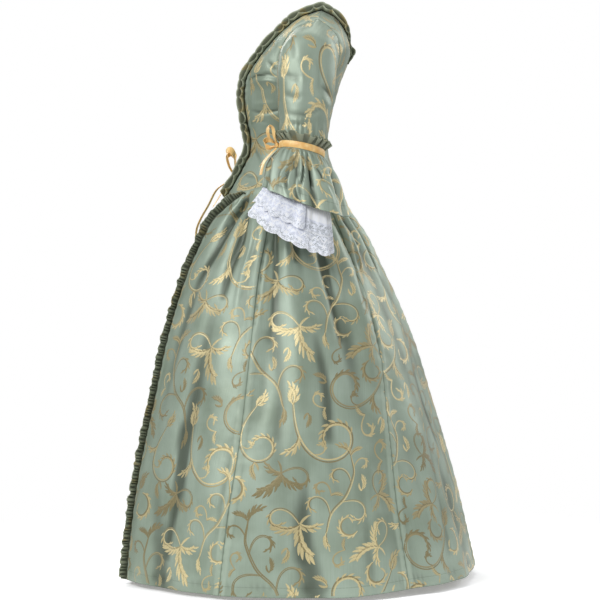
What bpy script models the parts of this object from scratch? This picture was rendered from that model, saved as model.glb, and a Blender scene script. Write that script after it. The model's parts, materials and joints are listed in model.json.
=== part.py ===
"""A renaissance gown of sage brocade, hollow and open as it hangs on the wearer's shoulders.

Metres, +Z up. The gown faces -Y and the wearer's left is +X. The origin lies midway between the
tops of the two shoulder straps. Every piece of cloth is a thin wall, and a seam is a narrow gap.
"""

import math

import bpy
import numpy as np

# Cloth and seams
BROCADE = 0.0022
TRIM = 0.0014
LACE = 0.0012
SEAM = 0.0004
SEAT = 0.0005
WAIST_GAP = 0.0003
KNOT_GAP = 0.0003

# Colours of the cloths
BROCADE_COLOUR = (0.36, 0.42, 0.33)
GOLD_COLOUR = (0.72, 0.45, 0.16)
LACE_COLOUR = (0.82, 0.83, 0.88)

# Height of the armpit, and the side seam's angle from the front
ARMPIT_Z = -0.195
SIDE_SEAM = 104.0

# How finely the walls are divided
LOWER_ROWS = 7
UPPER_ROWS = 10
NECK_ROW = 2
BODICE_COLUMNS = 8
CENTRE_COLUMNS = 7
SKIRT_ROWS = 12
SKIRT_ROW_POWER = 1.35
SKIRT_FRONT_COLUMNS = 9
FRONT_SIDE_COLUMNS = 15
SIDE_COLUMNS = 17
BACK_COLUMNS = 13
SLEEVE_ROWS = 9
SLEEVE_COLUMNS = 2 * (UPPER_ROWS - 1)
FALL_ROWS = 5
CUFF_COLUMNS = 2 * SLEEVE_COLUMNS
SCALLOP_STEPS = 3
WAVE_STEPS = 4
LOOP_STEPS = 9
TAIL_STEPS = 7
KNOT_TURNS = 8
EDGE_STEPS = 30

# Folds and waves
BODICE_RUFFLE_WAVES = 30
SKIRT_RUFFLE_WAVES = 24
LACE_WAVES = 8
LACE_SCALLOPS = 18
SCALLOP_DEPTH = 0.006
LACE_WAVE_DEPTH = 0.004
FRILL_WAVE_DEPTH = 0.004

# Body and skirt sections: z, y of the front edge, y of the back, half width, x of the front edge
SECTIONS = np.array(
    (
        (-0.105, -0.166, 0.063, 0.157, 0.092),
        (-0.157, -0.187, 0.048, 0.160, 0.086),
        (-0.195, -0.191, 0.037, 0.153, 0.082),
        (-0.257, -0.186, 0.022, 0.139, 0.075),
        (-0.317, -0.175, 0.014, 0.130, 0.070),
        (-0.345, -0.178, 0.017, 0.132, 0.068),
        (-0.384, -0.196, 0.030, 0.145, 0.066),
        (-0.437, -0.226, 0.052, 0.166, 0.064),
        (-0.480, -0.254, 0.071, 0.184, 0.066),
        (-0.510, -0.278, 0.091, 0.199, 0.070),
        (-0.550, -0.297, 0.118, 0.218, 0.078),
        (-0.610, -0.318, 0.147, 0.243, 0.088),
        (-0.700, -0.348, 0.187, 0.283, 0.102),
        (-0.820, -0.379, 0.231, 0.326, 0.120),
        (-0.940, -0.403, 0.266, 0.362, 0.137),
        (-1.060, -0.427, 0.303, 0.394, 0.151),
        (-1.180, -0.446, 0.338, 0.421, 0.163),
        (-1.300, -0.459, 0.368, 0.441, 0.173),
        (-1.385, -0.466, 0.387, 0.452, 0.180),
    )
)
CENTRE_BOW = 0.004

# Waist seam and hem: angle from the front, z of the waist seam, z of the hem
WAIST_AND_HEM = np.array(
    (
        (0.0, -0.462, -1.376),
        (24.0, -0.443, -1.378),
        (50.0, -0.441, -1.381),
        (90.0, -0.424, -1.382),
        (135.0, -0.414, -1.372),
        (180.0, -0.410, -1.367),
    )
)

# Skirt seams: z, angle of the side front seam, angle of the side back seam
SKIRT_SEAMS = np.array(
    (
        (-0.40, 82.0, 141.0),
        (-0.55, 77.5, 139.5),
        (-0.65, 74.3, 136.0),
        (-0.80, 73.0, 134.0),
        (-1.02, 70.8, 128.5),
        (-1.20, 67.6, 125.5),
        (-1.40, 64.5, 125.0),
    )
)

# How much wider than the bodice's front edges the skirt opens: z, angle on each side
SKIRT_OPENING = np.array(
    (
        (-0.425, 28.0),
        (-0.445, 26.5),
        (-0.468, 18.0),
        (-0.487, 12.5),
        (-0.516, 8.2),
        (-0.543, 6.2),
        (-0.571, 4.0),
        (-0.620, 0.0),
    )
)

# Skirt folds: angle at the waist, angle at the end, half width in degrees, depth, length
SKIRT_FOLDS = (
    (55.5, 33.0, 4.0, 0.030, 0.27),
    (60.0, 62.0, 4.5, 0.014, 0.40),
    (70.0, 66.0, 5.0, 0.012, 0.60),
    (83.5, 77.0, 5.0, 0.036, 0.72),
    (99.0, 97.0, 6.0, 0.020, 0.50),
    (113.0, 116.0, 5.5, 0.028, 0.62),
    (135.5, 141.0, 5.0, 0.034, 0.42),
    (151.0, 150.0, 5.5, 0.026, 0.70),
    (168.0, 165.0, 6.0, 0.028, 0.56),
)
FOLD_SPREAD = 0.6
FOLD_START = 0.06
HEM_WAVES = 9
HEM_WAVE_DEPTH = 0.007
HEM_WAVE_TURN = 0.6
HEM_WAVE_START = 0.25
HEM_WAVE_RUN = 0.7

# The way out over the shoulders: y of the middle there, how steeply and how fast it rises
SHOULDER_MIDDLE = -0.006
SHOULDER_RISE = 2.1
SHOULDER_POWER = 1.5
RING_TILT = 0.3

# Bodice edges above the armpit, from the armpit row up to the shoulder seam: x, y, z
NECK_FRONT = (
    (0.085, -0.186, -0.165),
    (0.090, -0.168, -0.134),
    (0.098, -0.132, -0.088),
    (0.105, -0.091, -0.046),
    (0.110, -0.049, -0.015),
    (0.112, -0.002, 0.000),
)
ARMHOLE_FRONT = (
    (0.151, -0.082, -0.176),
    (0.155, -0.100, -0.135),
    (0.160, -0.094, -0.090),
    (0.167, -0.069, -0.056),
    (0.172, -0.039, -0.038),
    (0.174, -0.010, -0.031),
)
NECK_BACK = (
    (0.000, 0.052, -0.140),
    (0.000, 0.068, -0.085),
    (0.050, 0.064, -0.066),
    (0.085, 0.053, -0.043),
    (0.104, 0.033, -0.018),
    (0.112, -0.002, 0.000),
)
ARMHOLE_BACK = (
    (0.150, -0.010, -0.180),
    (0.152, 0.028, -0.145),
    (0.157, 0.042, -0.106),
    (0.163, 0.038, -0.076),
    (0.169, 0.018, -0.051),
    (0.174, -0.010, -0.031),
)

# Sections of the sleeve, the flounce and the lace below its top: centre x, y, z, outward x and z,
# half depth, drop at the back
SLEEVE = (
    (0.189, -0.036, -0.142, 0.034, 0.066, 0.071, 0.000),
    (0.200, -0.040, -0.196, 0.041, 0.055, 0.070, 0.003),
    (0.207, -0.044, -0.248, 0.043, 0.036, 0.063, 0.008),
    (0.213, -0.047, -0.303, 0.043, 0.017, 0.056, 0.010),
    (0.220, -0.050, -0.357, 0.042, 0.007, 0.052, 0.011),
)
FLOUNCE = (
    (0.220, -0.050, -0.357, 0.042, 0.007, 0.052, 0.011),
    (0.235, -0.048, -0.395, 0.047, -0.002, 0.084, 0.018),
    (0.248, -0.040, -0.474, 0.052, -0.010, 0.106, 0.036),
)
LACE_FALL = (
    (0.236, -0.052, -0.408, 0.024, -0.002, 0.056, 0.018),
    (0.247, -0.061, -0.486, 0.033, -0.014, 0.079, 0.036),
    (0.277, -0.075, -0.545, 0.041, -0.026, 0.098, 0.048),
)
RIBBON_HEIGHT = 0.016
RUFFLE_LEAN = 0.25
RUFFLE_CLEAR = 0.007
RUFFLE_SMOOTHING = 6
FRILL_HEIGHT = 0.020
FRILL_FLARE = 0.009

# Flounce pleats: angle round the sleeve from its outer side towards the back, half width, depth
PLEAT_START = 0.5
FLOUNCE_PLEATS = (
    (14.0, 9.0, 0.012),
    (348.0, 8.0, 0.011),
    (318.0, 12.0, 0.008),
    (285.0, 12.0, 0.010),
    (235.0, 14.0, 0.008),
    (180.0, 14.0, 0.003),
    (125.0, 14.0, 0.009),
    (68.0, 14.0, 0.010),
)

# Ruffle widths along their run: share of the run, width
BODICE_RUFFLE_WIDTH = ((0.0, 0.030), (0.3, 0.030), (0.5, 0.024), (1.0, 0.022))
SKIRT_RUFFLE_WIDTH = ((0.0, 0.019), (0.75, 0.018), (0.90, 0.022), (1.0, 0.025))
BODICE_RUFFLE_DEPTH = 0.004
SKIRT_RUFFLE_DEPTH = 0.006

# Bows: the knot's place and size, the ribbon's width, and its routes from the knot in x, y and z
WAIST_KNOT_Z = -0.398
WAIST_KNOT_SIZE = (0.017, 0.017, 0.019)
WAIST_RIBBON = 0.018
WAIST_LOOP = (
    (0.010, -0.003, 0.003),
    (0.029, -0.014, 0.022),
    (0.042, -0.020, 0.048),
    (0.049, -0.012, 0.058),
    (0.050, -0.002, 0.044),
    (0.034, 0.000, 0.014),
    (0.011, 0.001, -0.004),
)
WAIST_LOOP_ACROSS = (0.5, 0.0, -1.0)
WAIST_TAILS = (
    (
        (0.004, -0.002, -0.010),
        (0.011, -0.028, -0.036),
        (0.016, -0.044, -0.062),
        (0.020, -0.056, -0.082),
    ),
    (
        (0.004, -0.004, -0.010),
        (0.012, -0.046, -0.034),
        (0.020, -0.068, -0.074),
        (0.028, -0.090, -0.112),
        (0.032, -0.100, -0.140),
        (0.034, -0.102, -0.178),
    ),
)
WAIST_TAIL_ACROSS = (1.0, 0.2, 0.0)
SLEEVE_KNOT_SIZE = (0.011, 0.010, 0.013)
SLEEVE_RIBBON = 0.014
SLEEVE_LOOPS = (
    (
        (0.007, -0.001, 0.006),
        (0.015, -0.006, 0.020),
        (0.019, -0.008, 0.036),
        (0.015, -0.017, 0.045),
        (0.009, -0.024, 0.033),
        (0.004, -0.021, 0.018),
        (-0.002, -0.010, 0.005),
    ),
    (
        (-0.007, -0.002, 0.004),
        (-0.014, -0.012, 0.013),
        (-0.020, -0.023, 0.016),
        (-0.020, -0.031, 0.008),
        (-0.014, -0.028, -0.003),
        (-0.009, -0.018, -0.005),
        (-0.006, -0.006, -0.003),
    ),
)
SLEEVE_LOOPS_ACROSS = ((1.0, 0.6, 0.0), (0.5, -0.2, 1.0))
SLEEVE_TAILS = (
    (
        (-0.003, -0.004, -0.007),
        (-0.008, -0.021, -0.022),
        (-0.008, -0.034, -0.036),
        (-0.009, -0.043, -0.050),
    ),
    (
        (0.006, -0.002, -0.007),
        (0.016, -0.019, -0.024),
        (0.022, -0.034, -0.046),
        (0.025, -0.040, -0.072),
    ),
)
SLEEVE_TAILS_ACROSS = ((1.0, 0.0, 0.0), (1.0, 0.5, 0.0))
KNOT_RINGS = ((-1.0, 0.45), (-0.45, 0.95), (0.45, 0.95), (1.0, 0.45))
KNOT_SHARE = 0.4
KNOT_TAPER = 0.3
KNOT_STEPS = 8


def hermite(knots, values, at):
    """Smooth curve through values at rising knots that never overshoots them."""
    knots = np.asarray(knots, float)
    values = np.asarray(values, float)
    at = np.clip(np.asarray(at, float), knots[0], knots[-1])
    columns = (1,) * (values.ndim - 1)
    steps = np.diff(values, axis=0) / np.diff(knots).reshape(-1, *columns)
    before, after = steps[:-1], steps[1:]
    total = before + after
    turning = before * after <= 0
    inner = np.where(turning, 0.0, 2 * before * after / np.where(turning, 1.0, total))
    slopes = np.concatenate([steps[:1], inner, steps[-1:]])
    left = np.clip(np.searchsorted(knots, at, side="right") - 1, 0, len(knots) - 2)
    span = np.reshape(knots[left + 1] - knots[left], at.shape + columns)
    t = np.reshape(at - knots[left], at.shape + columns) / span
    square = t * t
    cube = square * t
    return (
        (2 * cube - 3 * square + 1) * values[left]
        + (cube - 2 * square + t) * span * slopes[left]
        + (3 * square - 2 * cube) * values[left + 1]
        + (cube - square) * span * slopes[left + 1]
    )


def smoothstep(x):
    x = np.clip(x, 0.0, 1.0)
    return x * x * (3 - 2 * x)


def section(z):
    """The section's sizes at a height: front edge y, back y, half width, front edge x."""
    rising = SECTIONS[::-1]
    sizes = hermite(rising[:, 0], rising[:, 1:], z)
    return np.moveaxis(sizes, -1, 0)


def front_edge_angle(z):
    _, _, half_width, edge_x = section(z)
    return np.degrees(np.arcsin(edge_x / half_width))


def body(angle, z):
    """A point of the cloth at an angle from the front and a height, before any fold."""
    front, back, half_width, edge_x = section(z)
    turn = np.radians(angle)
    middle = (front + back) / 2
    edge_turn = np.arcsin(edge_x / half_width)
    round_front = middle - (middle - front) * np.cos(turn) / np.cos(edge_turn)
    round_back = middle - (back - middle) * np.cos(turn)
    flat_front = front - CENTRE_BOW * (1 - np.clip(turn / edge_turn, -1, 1) ** 2)
    y = np.where(np.abs(turn) < edge_turn, flat_front, round_front)
    y = np.where(np.cos(turn) < 0, round_back, y)
    return np.stack([half_width * np.sin(turn), y, z + 0 * turn], axis=-1)


def body_outward(points):
    """The direction away from the wearer, level on the body and rising over the shoulders."""
    x, y, z = np.moveaxis(points, -1, 0)
    front, back, _, _ = section(np.minimum(z, ARMPIT_Z))
    shoulder = np.clip((z - ARMPIT_Z) / -ARMPIT_Z, 0, 1)
    middle = (front + back) / 2 * (1 - shoulder) + SHOULDER_MIDDLE * shoulder
    rise = SHOULDER_RISE * shoulder**SHOULDER_POWER * np.abs(x)
    out = np.stack([x, y - middle, rise], axis=-1)
    return out / np.linalg.norm(out, axis=-1, keepdims=True)


def trimmed(grid, gap=SEAM / 2):
    """The grid with each of its four edges drawn in by half a seam's gap."""
    grid = grid.copy()
    for _ in range(2):
        for edge, beside in ((0, 1), (-1, -2)):
            inward = grid[beside] - grid[edge]
            grid[edge] += gap * inward / np.linalg.norm(inward, axis=-1, keepdims=True)
        grid = np.swapaxes(grid, 0, 1)
    return grid


def tube_normals(grid):
    """Normals that point out of a tube, whose rows run down and whose columns run round it."""
    across = np.roll(grid, -1, axis=1) - np.roll(grid, 1, axis=1)
    along = np.gradient(grid, axis=0)
    normals = np.cross(along, across)
    return normals / np.linalg.norm(normals, axis=-1, keepdims=True)


def wall(name, outer, outward, thickness, material, loop=False):
    """A closed wall with the grid as its outer side. A loop is a tube, open at both ends."""
    rows, columns, _ = outer.shape
    inner = outer - thickness * outward
    points = np.concatenate([outer.reshape(-1, 3), inner.reshape(-1, 3)])
    behind = rows * columns
    faces = []

    def quad(a, b, c, d):
        faces.append((a, b, c))
        faces.append((a, c, d))

    strips = columns if loop else columns - 1
    for row in range(rows - 1):
        for column in range(strips):
            beside = (column + 1) % columns
            a = row * columns + column
            b = row * columns + beside
            c = (row + 1) * columns + beside
            d = (row + 1) * columns + column
            quad(a, b, c, d)
            faces.append((a + behind, c + behind, b + behind))
            faces.append((a + behind, d + behind, c + behind))
    for column in range(strips):
        beside = (column + 1) % columns
        last = (rows - 1) * columns
        quad(column, column + behind, beside + behind, beside)
        quad(last + beside, last + beside + behind, last + column + behind, last + column)
    if not loop:
        for row in range(rows - 1):
            a = row * columns
            d = a + columns
            quad(d, d + behind, a + behind, a)
            b = a + columns - 1
            c = b + columns
            quad(b, b + behind, c + behind, c)
    return add_solid(name, points, faces, material)


def facing_out(points, faces):
    """The faces, all turned round if they point into the solid."""
    faces = np.asarray(faces)
    corners = points[faces]
    volume = np.einsum("ij,ij->i", np.cross(corners[:, 0], corners[:, 1]), corners[:, 2]).sum()
    return faces[:, ::-1] if volume < 0 else faces


def add_solid(name, points, faces, material):
    """An object from points and faces."""
    faces = facing_out(points, faces)
    mesh = bpy.data.meshes.new(name)
    mesh.from_pydata([tuple(p) for p in points], [], [tuple(map(int, f)) for f in faces])
    mesh.materials.append(material)
    mesh.shade_smooth()
    mesh.set_sharp_from_angle(angle=math.radians(50))
    solid = bpy.data.objects.new(name, mesh)
    bpy.context.collection.objects.link(solid)
    return solid


def mirrored(points):
    return np.asarray(points) * np.array((-1.0, 1.0, 1.0))


def both_sides(name, outer, outward, thickness, material, loop=False):
    """The wearer's left piece as given, and the right one as its mirror image."""
    wall(name + "_left", outer, outward, thickness, material, loop)
    wall(name + "_right", mirrored(outer), mirrored(outward), thickness, material, loop)


def waist_z(angle):
    return hermite(WAIST_AND_HEM[:, 0], WAIST_AND_HEM[:, 1], np.abs(angle))


def hem_z(angle):
    return hermite(WAIST_AND_HEM[:, 0], WAIST_AND_HEM[:, 2], np.abs(angle))


def at_height(table, column, z):
    """A column of a table whose first column is a falling height."""
    rising = table[::-1]
    return hermite(rising[:, 0], rising[:, column], z)


def fold_depth(angle, drop):
    """How far the skirt's folds sink in, at an angle and a distance below the waist seam."""
    around = np.abs(angle)
    depth = 0.0 * around * drop
    for start, end, half_width, deepest, length in SKIRT_FOLDS:
        along = drop / length
        middle = start + (end - start) * np.clip(along, 0, 1)
        spread = half_width * (1 + FOLD_SPREAD * along)
        shape = np.exp(-(((around - middle) / spread) ** 2))
        depth = depth + deepest * shape * smoothstep(drop / FOLD_START) * (1 - smoothstep(along))
    wave = np.sin(np.radians(around) * HEM_WAVES + HEM_WAVE_TURN)
    grown = smoothstep((drop - HEM_WAVE_START) / HEM_WAVE_RUN)
    return depth + HEM_WAVE_DEPTH * wave * grown


def between(start, end, share):
    return start + (end - start) * share


def edges_between(left_edge, right_edge, across, height_of):
    """The angles of points between two edges, at the height that each angle has itself."""
    height = height_of(np.zeros(len(across)))
    for _ in range(EDGE_STEPS):
        angle = between(left_edge(height), right_edge(height), across)
        height = between(height, height_of(angle), 0.5)
    return angle


def skirt_gore(left_edge, right_edge, columns):
    """One gore's grid. Its edges are functions that give an angle for a height."""
    across = np.linspace(0, 1, columns)
    down = np.linspace(0, 1, SKIRT_ROWS) ** SKIRT_ROW_POWER
    top = waist_z(edges_between(left_edge, right_edge, across, waist_z))
    bottom = hem_z(edges_between(left_edge, right_edge, across, hem_z))
    z = between(top, bottom, down[:, None])
    angle = between(left_edge(z), right_edge(z), across)
    grid = body(angle, z)
    out = body_outward(grid)
    grid = grid - out * fold_depth(angle, waist_z(angle) - z)[..., None]
    grid[0, :, 2] -= WAIST_GAP
    return trimmed(grid), out


def other_front_edge(z):
    return -front_edge_angle(z)


def skirt_front_edge(z):
    return front_edge_angle(z) + at_height(SKIRT_OPENING, 1, z)


def other_skirt_front_edge(z):
    return -skirt_front_edge(z)


def side_front(z):
    return at_height(SKIRT_SEAMS, 1, z)


def side_back(z):
    return at_height(SKIRT_SEAMS, 2, z)


def back_centre(z):
    return 180.0 + 0 * z


def make_skirt(cloth):
    """The gores. It gives the grid of the left one beside the front, for its ruffle."""
    grid, out = skirt_gore(other_skirt_front_edge, skirt_front_edge, SKIRT_FRONT_COLUMNS)
    wall("skirt_front", grid, out, BROCADE, cloth)
    front_side, out = skirt_gore(skirt_front_edge, side_front, FRONT_SIDE_COLUMNS)
    both_sides("skirt_front_side", front_side, out, BROCADE, cloth)
    grid, out = skirt_gore(side_front, side_back, SIDE_COLUMNS)
    both_sides("skirt_side", grid, out, BROCADE, cloth)
    grid, out = skirt_gore(side_back, back_centre, BACK_COLUMNS)
    both_sides("skirt_back", grid, out, BROCADE, cloth)
    return front_side


def lower_rows(left_edge, right_edge, across):
    """The bodice from the waist seam up to the armpit."""
    bottom = waist_z(edges_between(left_edge, right_edge, across, waist_z))
    up = np.linspace(0, 1, LOWER_ROWS)
    z = between(bottom, ARMPIT_Z, up[:, None])
    return body(between(left_edge(z), right_edge(z), across), z)


def upper_rows(armpit_row, inner, outer, across):
    """The bodice from the armpit to the shoulder seam, between a neck edge and an armhole."""
    inner = np.concatenate([armpit_row[:1], inner])
    outer = np.concatenate([armpit_row[-1:], outer])
    knots = np.arange(len(inner))
    height = np.linspace(0, len(inner) - 1, UPPER_ROWS)
    start = hermite(knots, inner, height)[:, None]
    end = hermite(knots, outer, height)[:, None]
    share = across[:, None]
    bulge = armpit_row - between(armpit_row[0], armpit_row[-1], share)
    keep = 1 - smoothstep(height / height[-1])
    return between(start, end, share) + keep[:, None, None] * bulge


def side_seam(z):
    return SIDE_SEAM + 0 * z


def make_bodice(cloth):
    """The bodice's panels. It gives the grids of the left front, the left back and the centre."""
    across = np.linspace(0, 1, BODICE_COLUMNS)
    lower = lower_rows(front_edge_angle, side_seam, across)
    upper = upper_rows(lower[-1], NECK_FRONT, ARMHOLE_FRONT, across)
    front = np.concatenate([lower, upper[1:]])
    both_sides("bodice_front", trimmed(front), body_outward(front), BROCADE, cloth)

    lower = lower_rows(side_seam, back_centre, across)[:, ::-1]
    upper = upper_rows(lower[-1], NECK_BACK, ARMHOLE_BACK, across)
    back = np.concatenate([lower, upper[1:]])
    both_sides("bodice_back", trimmed(back), body_outward(back), BROCADE, cloth)

    across = np.linspace(0, 1, CENTRE_COLUMNS)
    lower = lower_rows(other_front_edge, front_edge_angle, across)
    sideways = 2 * across - 1
    upper = np.repeat(front[LOWER_ROWS : LOWER_ROWS + NECK_ROW, :1], CENTRE_COLUMNS, axis=1)
    upper[..., 0] *= sideways
    upper[..., 1] -= CENTRE_BOW * (1 - sideways**2)
    centre = trimmed(np.concatenate([lower, upper]))
    wall("bodice_centre", centre, body_outward(centre), BROCADE, cloth)
    return front, back, centre


def armhole(turn):
    """The armhole's edge at an angle round the sleeve, from the shoulder over the back."""
    underarm = body(np.array(SIDE_SEAM), np.array(ARMPIT_Z))[None]
    knots = np.arange(len(ARMHOLE_BACK) + 1)
    top = knots[-1]
    turn = np.asarray(turn) % 360
    back = hermite(knots, np.concatenate([underarm, ARMHOLE_BACK]), top * (1 - turn / 180))
    front = hermite(knots, np.concatenate([underarm, ARMHOLE_FRONT]), top * (turn / 180 - 1))
    return np.where((turn <= 180)[:, None], back, front)


def sleeve_ring(row, turn):
    """One section: round its centre from the outer side towards the back."""
    x, y, z, out_x, out_z, half_depth, drop = row
    turn = np.radians(turn)
    outward = np.array((out_x, 0.0, out_z))
    backward = np.array((0.0, half_depth, -drop))
    centre = np.array((x, y, z))
    return centre + np.cos(turn)[:, None] * outward + np.sin(turn)[:, None] * backward


def through(rings, rows):
    """A grid of rows on smooth curves through the rings."""
    rings = np.asarray(rings)
    return hermite(np.arange(len(rings)), rings, np.linspace(0, len(rings) - 1, rows))


def pleat_depth(turn):
    depth = 0.0 * turn
    for middle, half_width, deepest in FLOUNCE_PLEATS:
        away = (turn - middle + 180) % 360 - 180
        depth = depth + deepest * np.exp(-((away / half_width) ** 2))
    return depth


def ring_outward(grid):
    """The level direction away from the middle of each row of a sleeve."""
    out = grid - grid.mean(axis=1, keepdims=True)
    out[..., 2] *= RING_TILT
    return out / np.linalg.norm(out, axis=-1, keepdims=True)


def round_ring(ring, count):
    """Another number of points on the straight sides of a closed ring."""
    at = np.arange(count) * len(ring) / count
    left = at.astype(int)
    after = np.roll(ring, -1, axis=0)
    return between(ring[left], after[left], (at - left)[:, None])


def make_sleeve(cloth):
    """The sleeve, whose columns start at the corners of the armhole's edge. It gives its grid."""
    turn = np.arange(SLEEVE_COLUMNS) * 360 / SLEEVE_COLUMNS
    edge = armhole(turn)
    hole = edge.mean(axis=0) - edge
    hole /= np.linalg.norm(hole, axis=-1, keepdims=True)
    first = edge + (SEAM + SEAT) * (body_outward(edge) + hole)
    grid = through([first] + [sleeve_ring(row, turn) for row in SLEEVE], SLEEVE_ROWS)
    both_sides("sleeve", grid, tube_normals(grid), BROCADE, cloth, True)
    return grid


def make_flounce(sleeve, cloth):
    """The flounce, sewn edge to edge to the end of the sleeve. It gives its grid and outward."""
    turn = np.arange(CUFF_COLUMNS) * 360 / CUFF_COLUMNS
    rings = [sleeve_ring(row, turn) for row in FLOUNCE]
    rings[0] = round_ring(sleeve[-1], CUFF_COLUMNS)
    grid = through(rings, FALL_ROWS)
    out = ring_outward(grid)
    fall = np.linspace(0, 1, FALL_ROWS)[:, None]
    grid = grid - (pleat_depth(turn) * smoothstep(fall / PLEAT_START))[..., None] * out
    along = grid[1] - grid[0]
    grid[0] += SEAM * along / np.linalg.norm(along, axis=-1, keepdims=True)
    both_sides("flounce", grid, out, BROCADE, cloth, True)
    return grid, out


def make_lace(flounce, flounce_outward, net):
    """The lace fall, sewn to the inside of the flounce's top edge."""
    count = LACE_SCALLOPS * SCALLOP_STEPS
    turn = np.arange(count) * 360 / count
    inside = flounce[0] - flounce_outward[0] * (BROCADE + KNOT_GAP)
    rings = [round_ring(inside, count)] + [sleeve_ring(row, turn) for row in LACE_FALL]
    grid = through(rings, FALL_ROWS)
    normals = tube_normals(grid)
    fall = np.linspace(0, 1, FALL_ROWS)[:, None]
    wave = np.sin(np.radians(turn) * LACE_WAVES)
    grid = grid + (LACE_WAVE_DEPTH * wave * fall)[..., None] * ring_outward(grid)
    scallop = np.abs(np.sin(np.radians(turn) * LACE_SCALLOPS / 2))
    along = grid[-1] - grid[-2]
    along /= np.linalg.norm(along, axis=-1, keepdims=True)
    grid[-1] += SCALLOP_DEPTH * scallop[:, None] * along
    both_sides("lace", grid, normals, LACE, net, True)


def make_sleeve_trim(sleeve, cloth, gold):
    """The ribbon round the sleeve's end and the frill above it. It gives the ribbon's grid."""
    end = sleeve[-1]
    up = sleeve[-2] - end
    up /= np.linalg.norm(up, axis=-1, keepdims=True)
    out = ring_outward(sleeve[-1:])[0]
    foot = end + out * (SEAT + TRIM)
    band = np.array([foot, foot + up * RIBBON_HEIGHT])
    both_sides("sleeve_ribbon", band, np.array([out, out]), TRIM, gold, True)

    foot = round_ring(foot + up * (RIBBON_HEIGHT + SEAT), CUFF_COLUMNS)
    up = round_ring(up, CUFF_COLUMNS)
    out = round_ring(out, CUFF_COLUMNS)
    wave = np.cos(np.arange(len(foot)) * 2 * math.pi / WAVE_STEPS)[:, None]
    rim = foot + up * FRILL_HEIGHT + out * (FRILL_FLARE + FRILL_WAVE_DEPTH * wave)
    both_sides("sleeve_frill", np.array([foot, rim]), np.array([out, out]), TRIM, cloth, True)
    return band


def by_length(points, count):
    """Points at equal steps along a line of straight stretches, and the share of the run at each."""
    steps = np.linalg.norm(np.diff(points, axis=0), axis=-1)
    run = np.concatenate([[0], np.cumsum(steps)])
    share = np.linspace(0, 1, count)
    at = share * run[-1]
    return np.stack([np.interp(at, run, points[:, k]) for k in range(3)], axis=-1), share


def ruffle(name, path, waves, widths, depth, cloth):
    """A gathered strip that stands out from a path, which runs up the front and down the back."""
    base, share = by_length(path, waves * WAVE_STEPS + 1)
    along = np.gradient(base, axis=0)
    for _ in range(RUFFLE_SMOOTHING):
        along[1:-1] = (along[:-2] + along[1:-1] + along[2:]) / 3
    along /= np.linalg.norm(along, axis=-1, keepdims=True)
    lean = np.full(len(along), RUFFLE_LEAN)
    stand = np.stack([lean, -along[:, 2], along[:, 1]], axis=-1)
    stand /= np.linalg.norm(stand, axis=-1, keepdims=True)
    aside = np.cross(along, stand)
    aside /= np.linalg.norm(aside, axis=-1, keepdims=True)
    width = np.interp(share, *np.transpose(widths))[:, None]
    wave = np.sin(share * waves * 2 * math.pi)[:, None]
    foot = base + body_outward(base) * SEAT + stand * SEAT + aside * TRIM / 2
    rim = foot + stand * width + aside * depth * wave
    both_sides(name, np.array([foot, rim]), np.array([aside, aside]), TRIM, cloth)


def started_late(path, clear, at):
    """The path with one end drawn in along its first stretch."""
    path = path.copy()
    inward = path[1 if at == 0 else -2] - path[at]
    path[at] += clear * inward / np.linalg.norm(inward)
    return path


def ribbon(route, width, across, steps, loop):
    """The grid of a flat ribbon along a smooth route, narrow where it is tied, and its outward."""
    share = np.linspace(0, 1, steps)
    middle = hermite(np.arange(len(route)), route, share * (len(route) - 1))
    along = np.gradient(middle, axis=0)
    along /= np.linalg.norm(along, axis=-1, keepdims=True)
    across = across - along * (along @ across)[:, None]
    across /= np.linalg.norm(across, axis=-1, keepdims=True)
    tied = np.minimum(share, 1 - share) if loop else share
    half = width / 2 * between(KNOT_SHARE, 1, smoothstep(tied / KNOT_TAPER))[:, None]
    return np.stack([middle - across * half, middle + across * half]), np.cross(along, across)


def knot_shape(size):
    """The points of a small rounded knot round its own centre, and its faces."""
    points = []
    for height, girth in KNOT_RINGS:
        for k in range(KNOT_TURNS):
            turn = 2 * math.pi * k / KNOT_TURNS
            points.append((girth * math.cos(turn), girth * math.sin(turn), height))
    faces = []
    for ring in range(len(KNOT_RINGS) - 1):
        for k in range(KNOT_TURNS):
            a = ring * KNOT_TURNS + k
            b = ring * KNOT_TURNS + (k + 1) % KNOT_TURNS
            faces.append((a, b, b + KNOT_TURNS))
            faces.append((a, b + KNOT_TURNS, a + KNOT_TURNS))
    last = (len(KNOT_RINGS) - 1) * KNOT_TURNS
    for k in range(1, KNOT_TURNS - 1):
        faces.append((0, k + 1, k))
        faces.append((last, last + k, last + k + 1))
    points = np.array(points) * np.array(size) / 2
    return points, facing_out(points, faces)


def outside(points, shape):
    """How far each point stands outside a convex shape's faces."""
    corners = shape[0][shape[1]]
    normals = np.cross(corners[:, 1] - corners[:, 0], corners[:, 2] - corners[:, 0])
    normals /= np.linalg.norm(normals, axis=-1, keepdims=True)
    offsets = np.einsum("ij,ij->i", normals, corners[:, 0])
    return (points @ normals.T - offsets).max(axis=-1)


def tied_on(route, width, across, steps, loop, shape):
    """The ribbon with its tied ends moved until they stand a knot's gap off the knot."""
    route = np.array(route)
    for _ in range(KNOT_STEPS):
        grid, out = ribbon(route, width, across, steps, loop)
        for end in (0, -1) if loop else (0,):
            beside = 1 if end == 0 else -2
            near = np.stack([grid[:, end], between(grid[:, end], grid[:, beside], 0.5)])
            near_out = np.stack([out[end], between(out[end], out[beside], 0.5)])[:, None]
            near = np.stack([near, near - TRIM * near_out, near - TRIM / 2 * near_out])
            near = np.concatenate([near, near.mean(axis=2, keepdims=True)], axis=2)
            away = route[end] / np.linalg.norm(route[end])
            route[end] += away * (KNOT_GAP - outside(near.reshape(-1, 3), shape).min())
    return ribbon(route, width, across, steps, loop)


def knot_centre(shape, foot, outward):
    """Where the knot's centre is when it stands a knot's gap off a plane."""
    reach = -(shape[0] @ outward).min()
    return foot + outward * (reach + KNOT_GAP)


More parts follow.
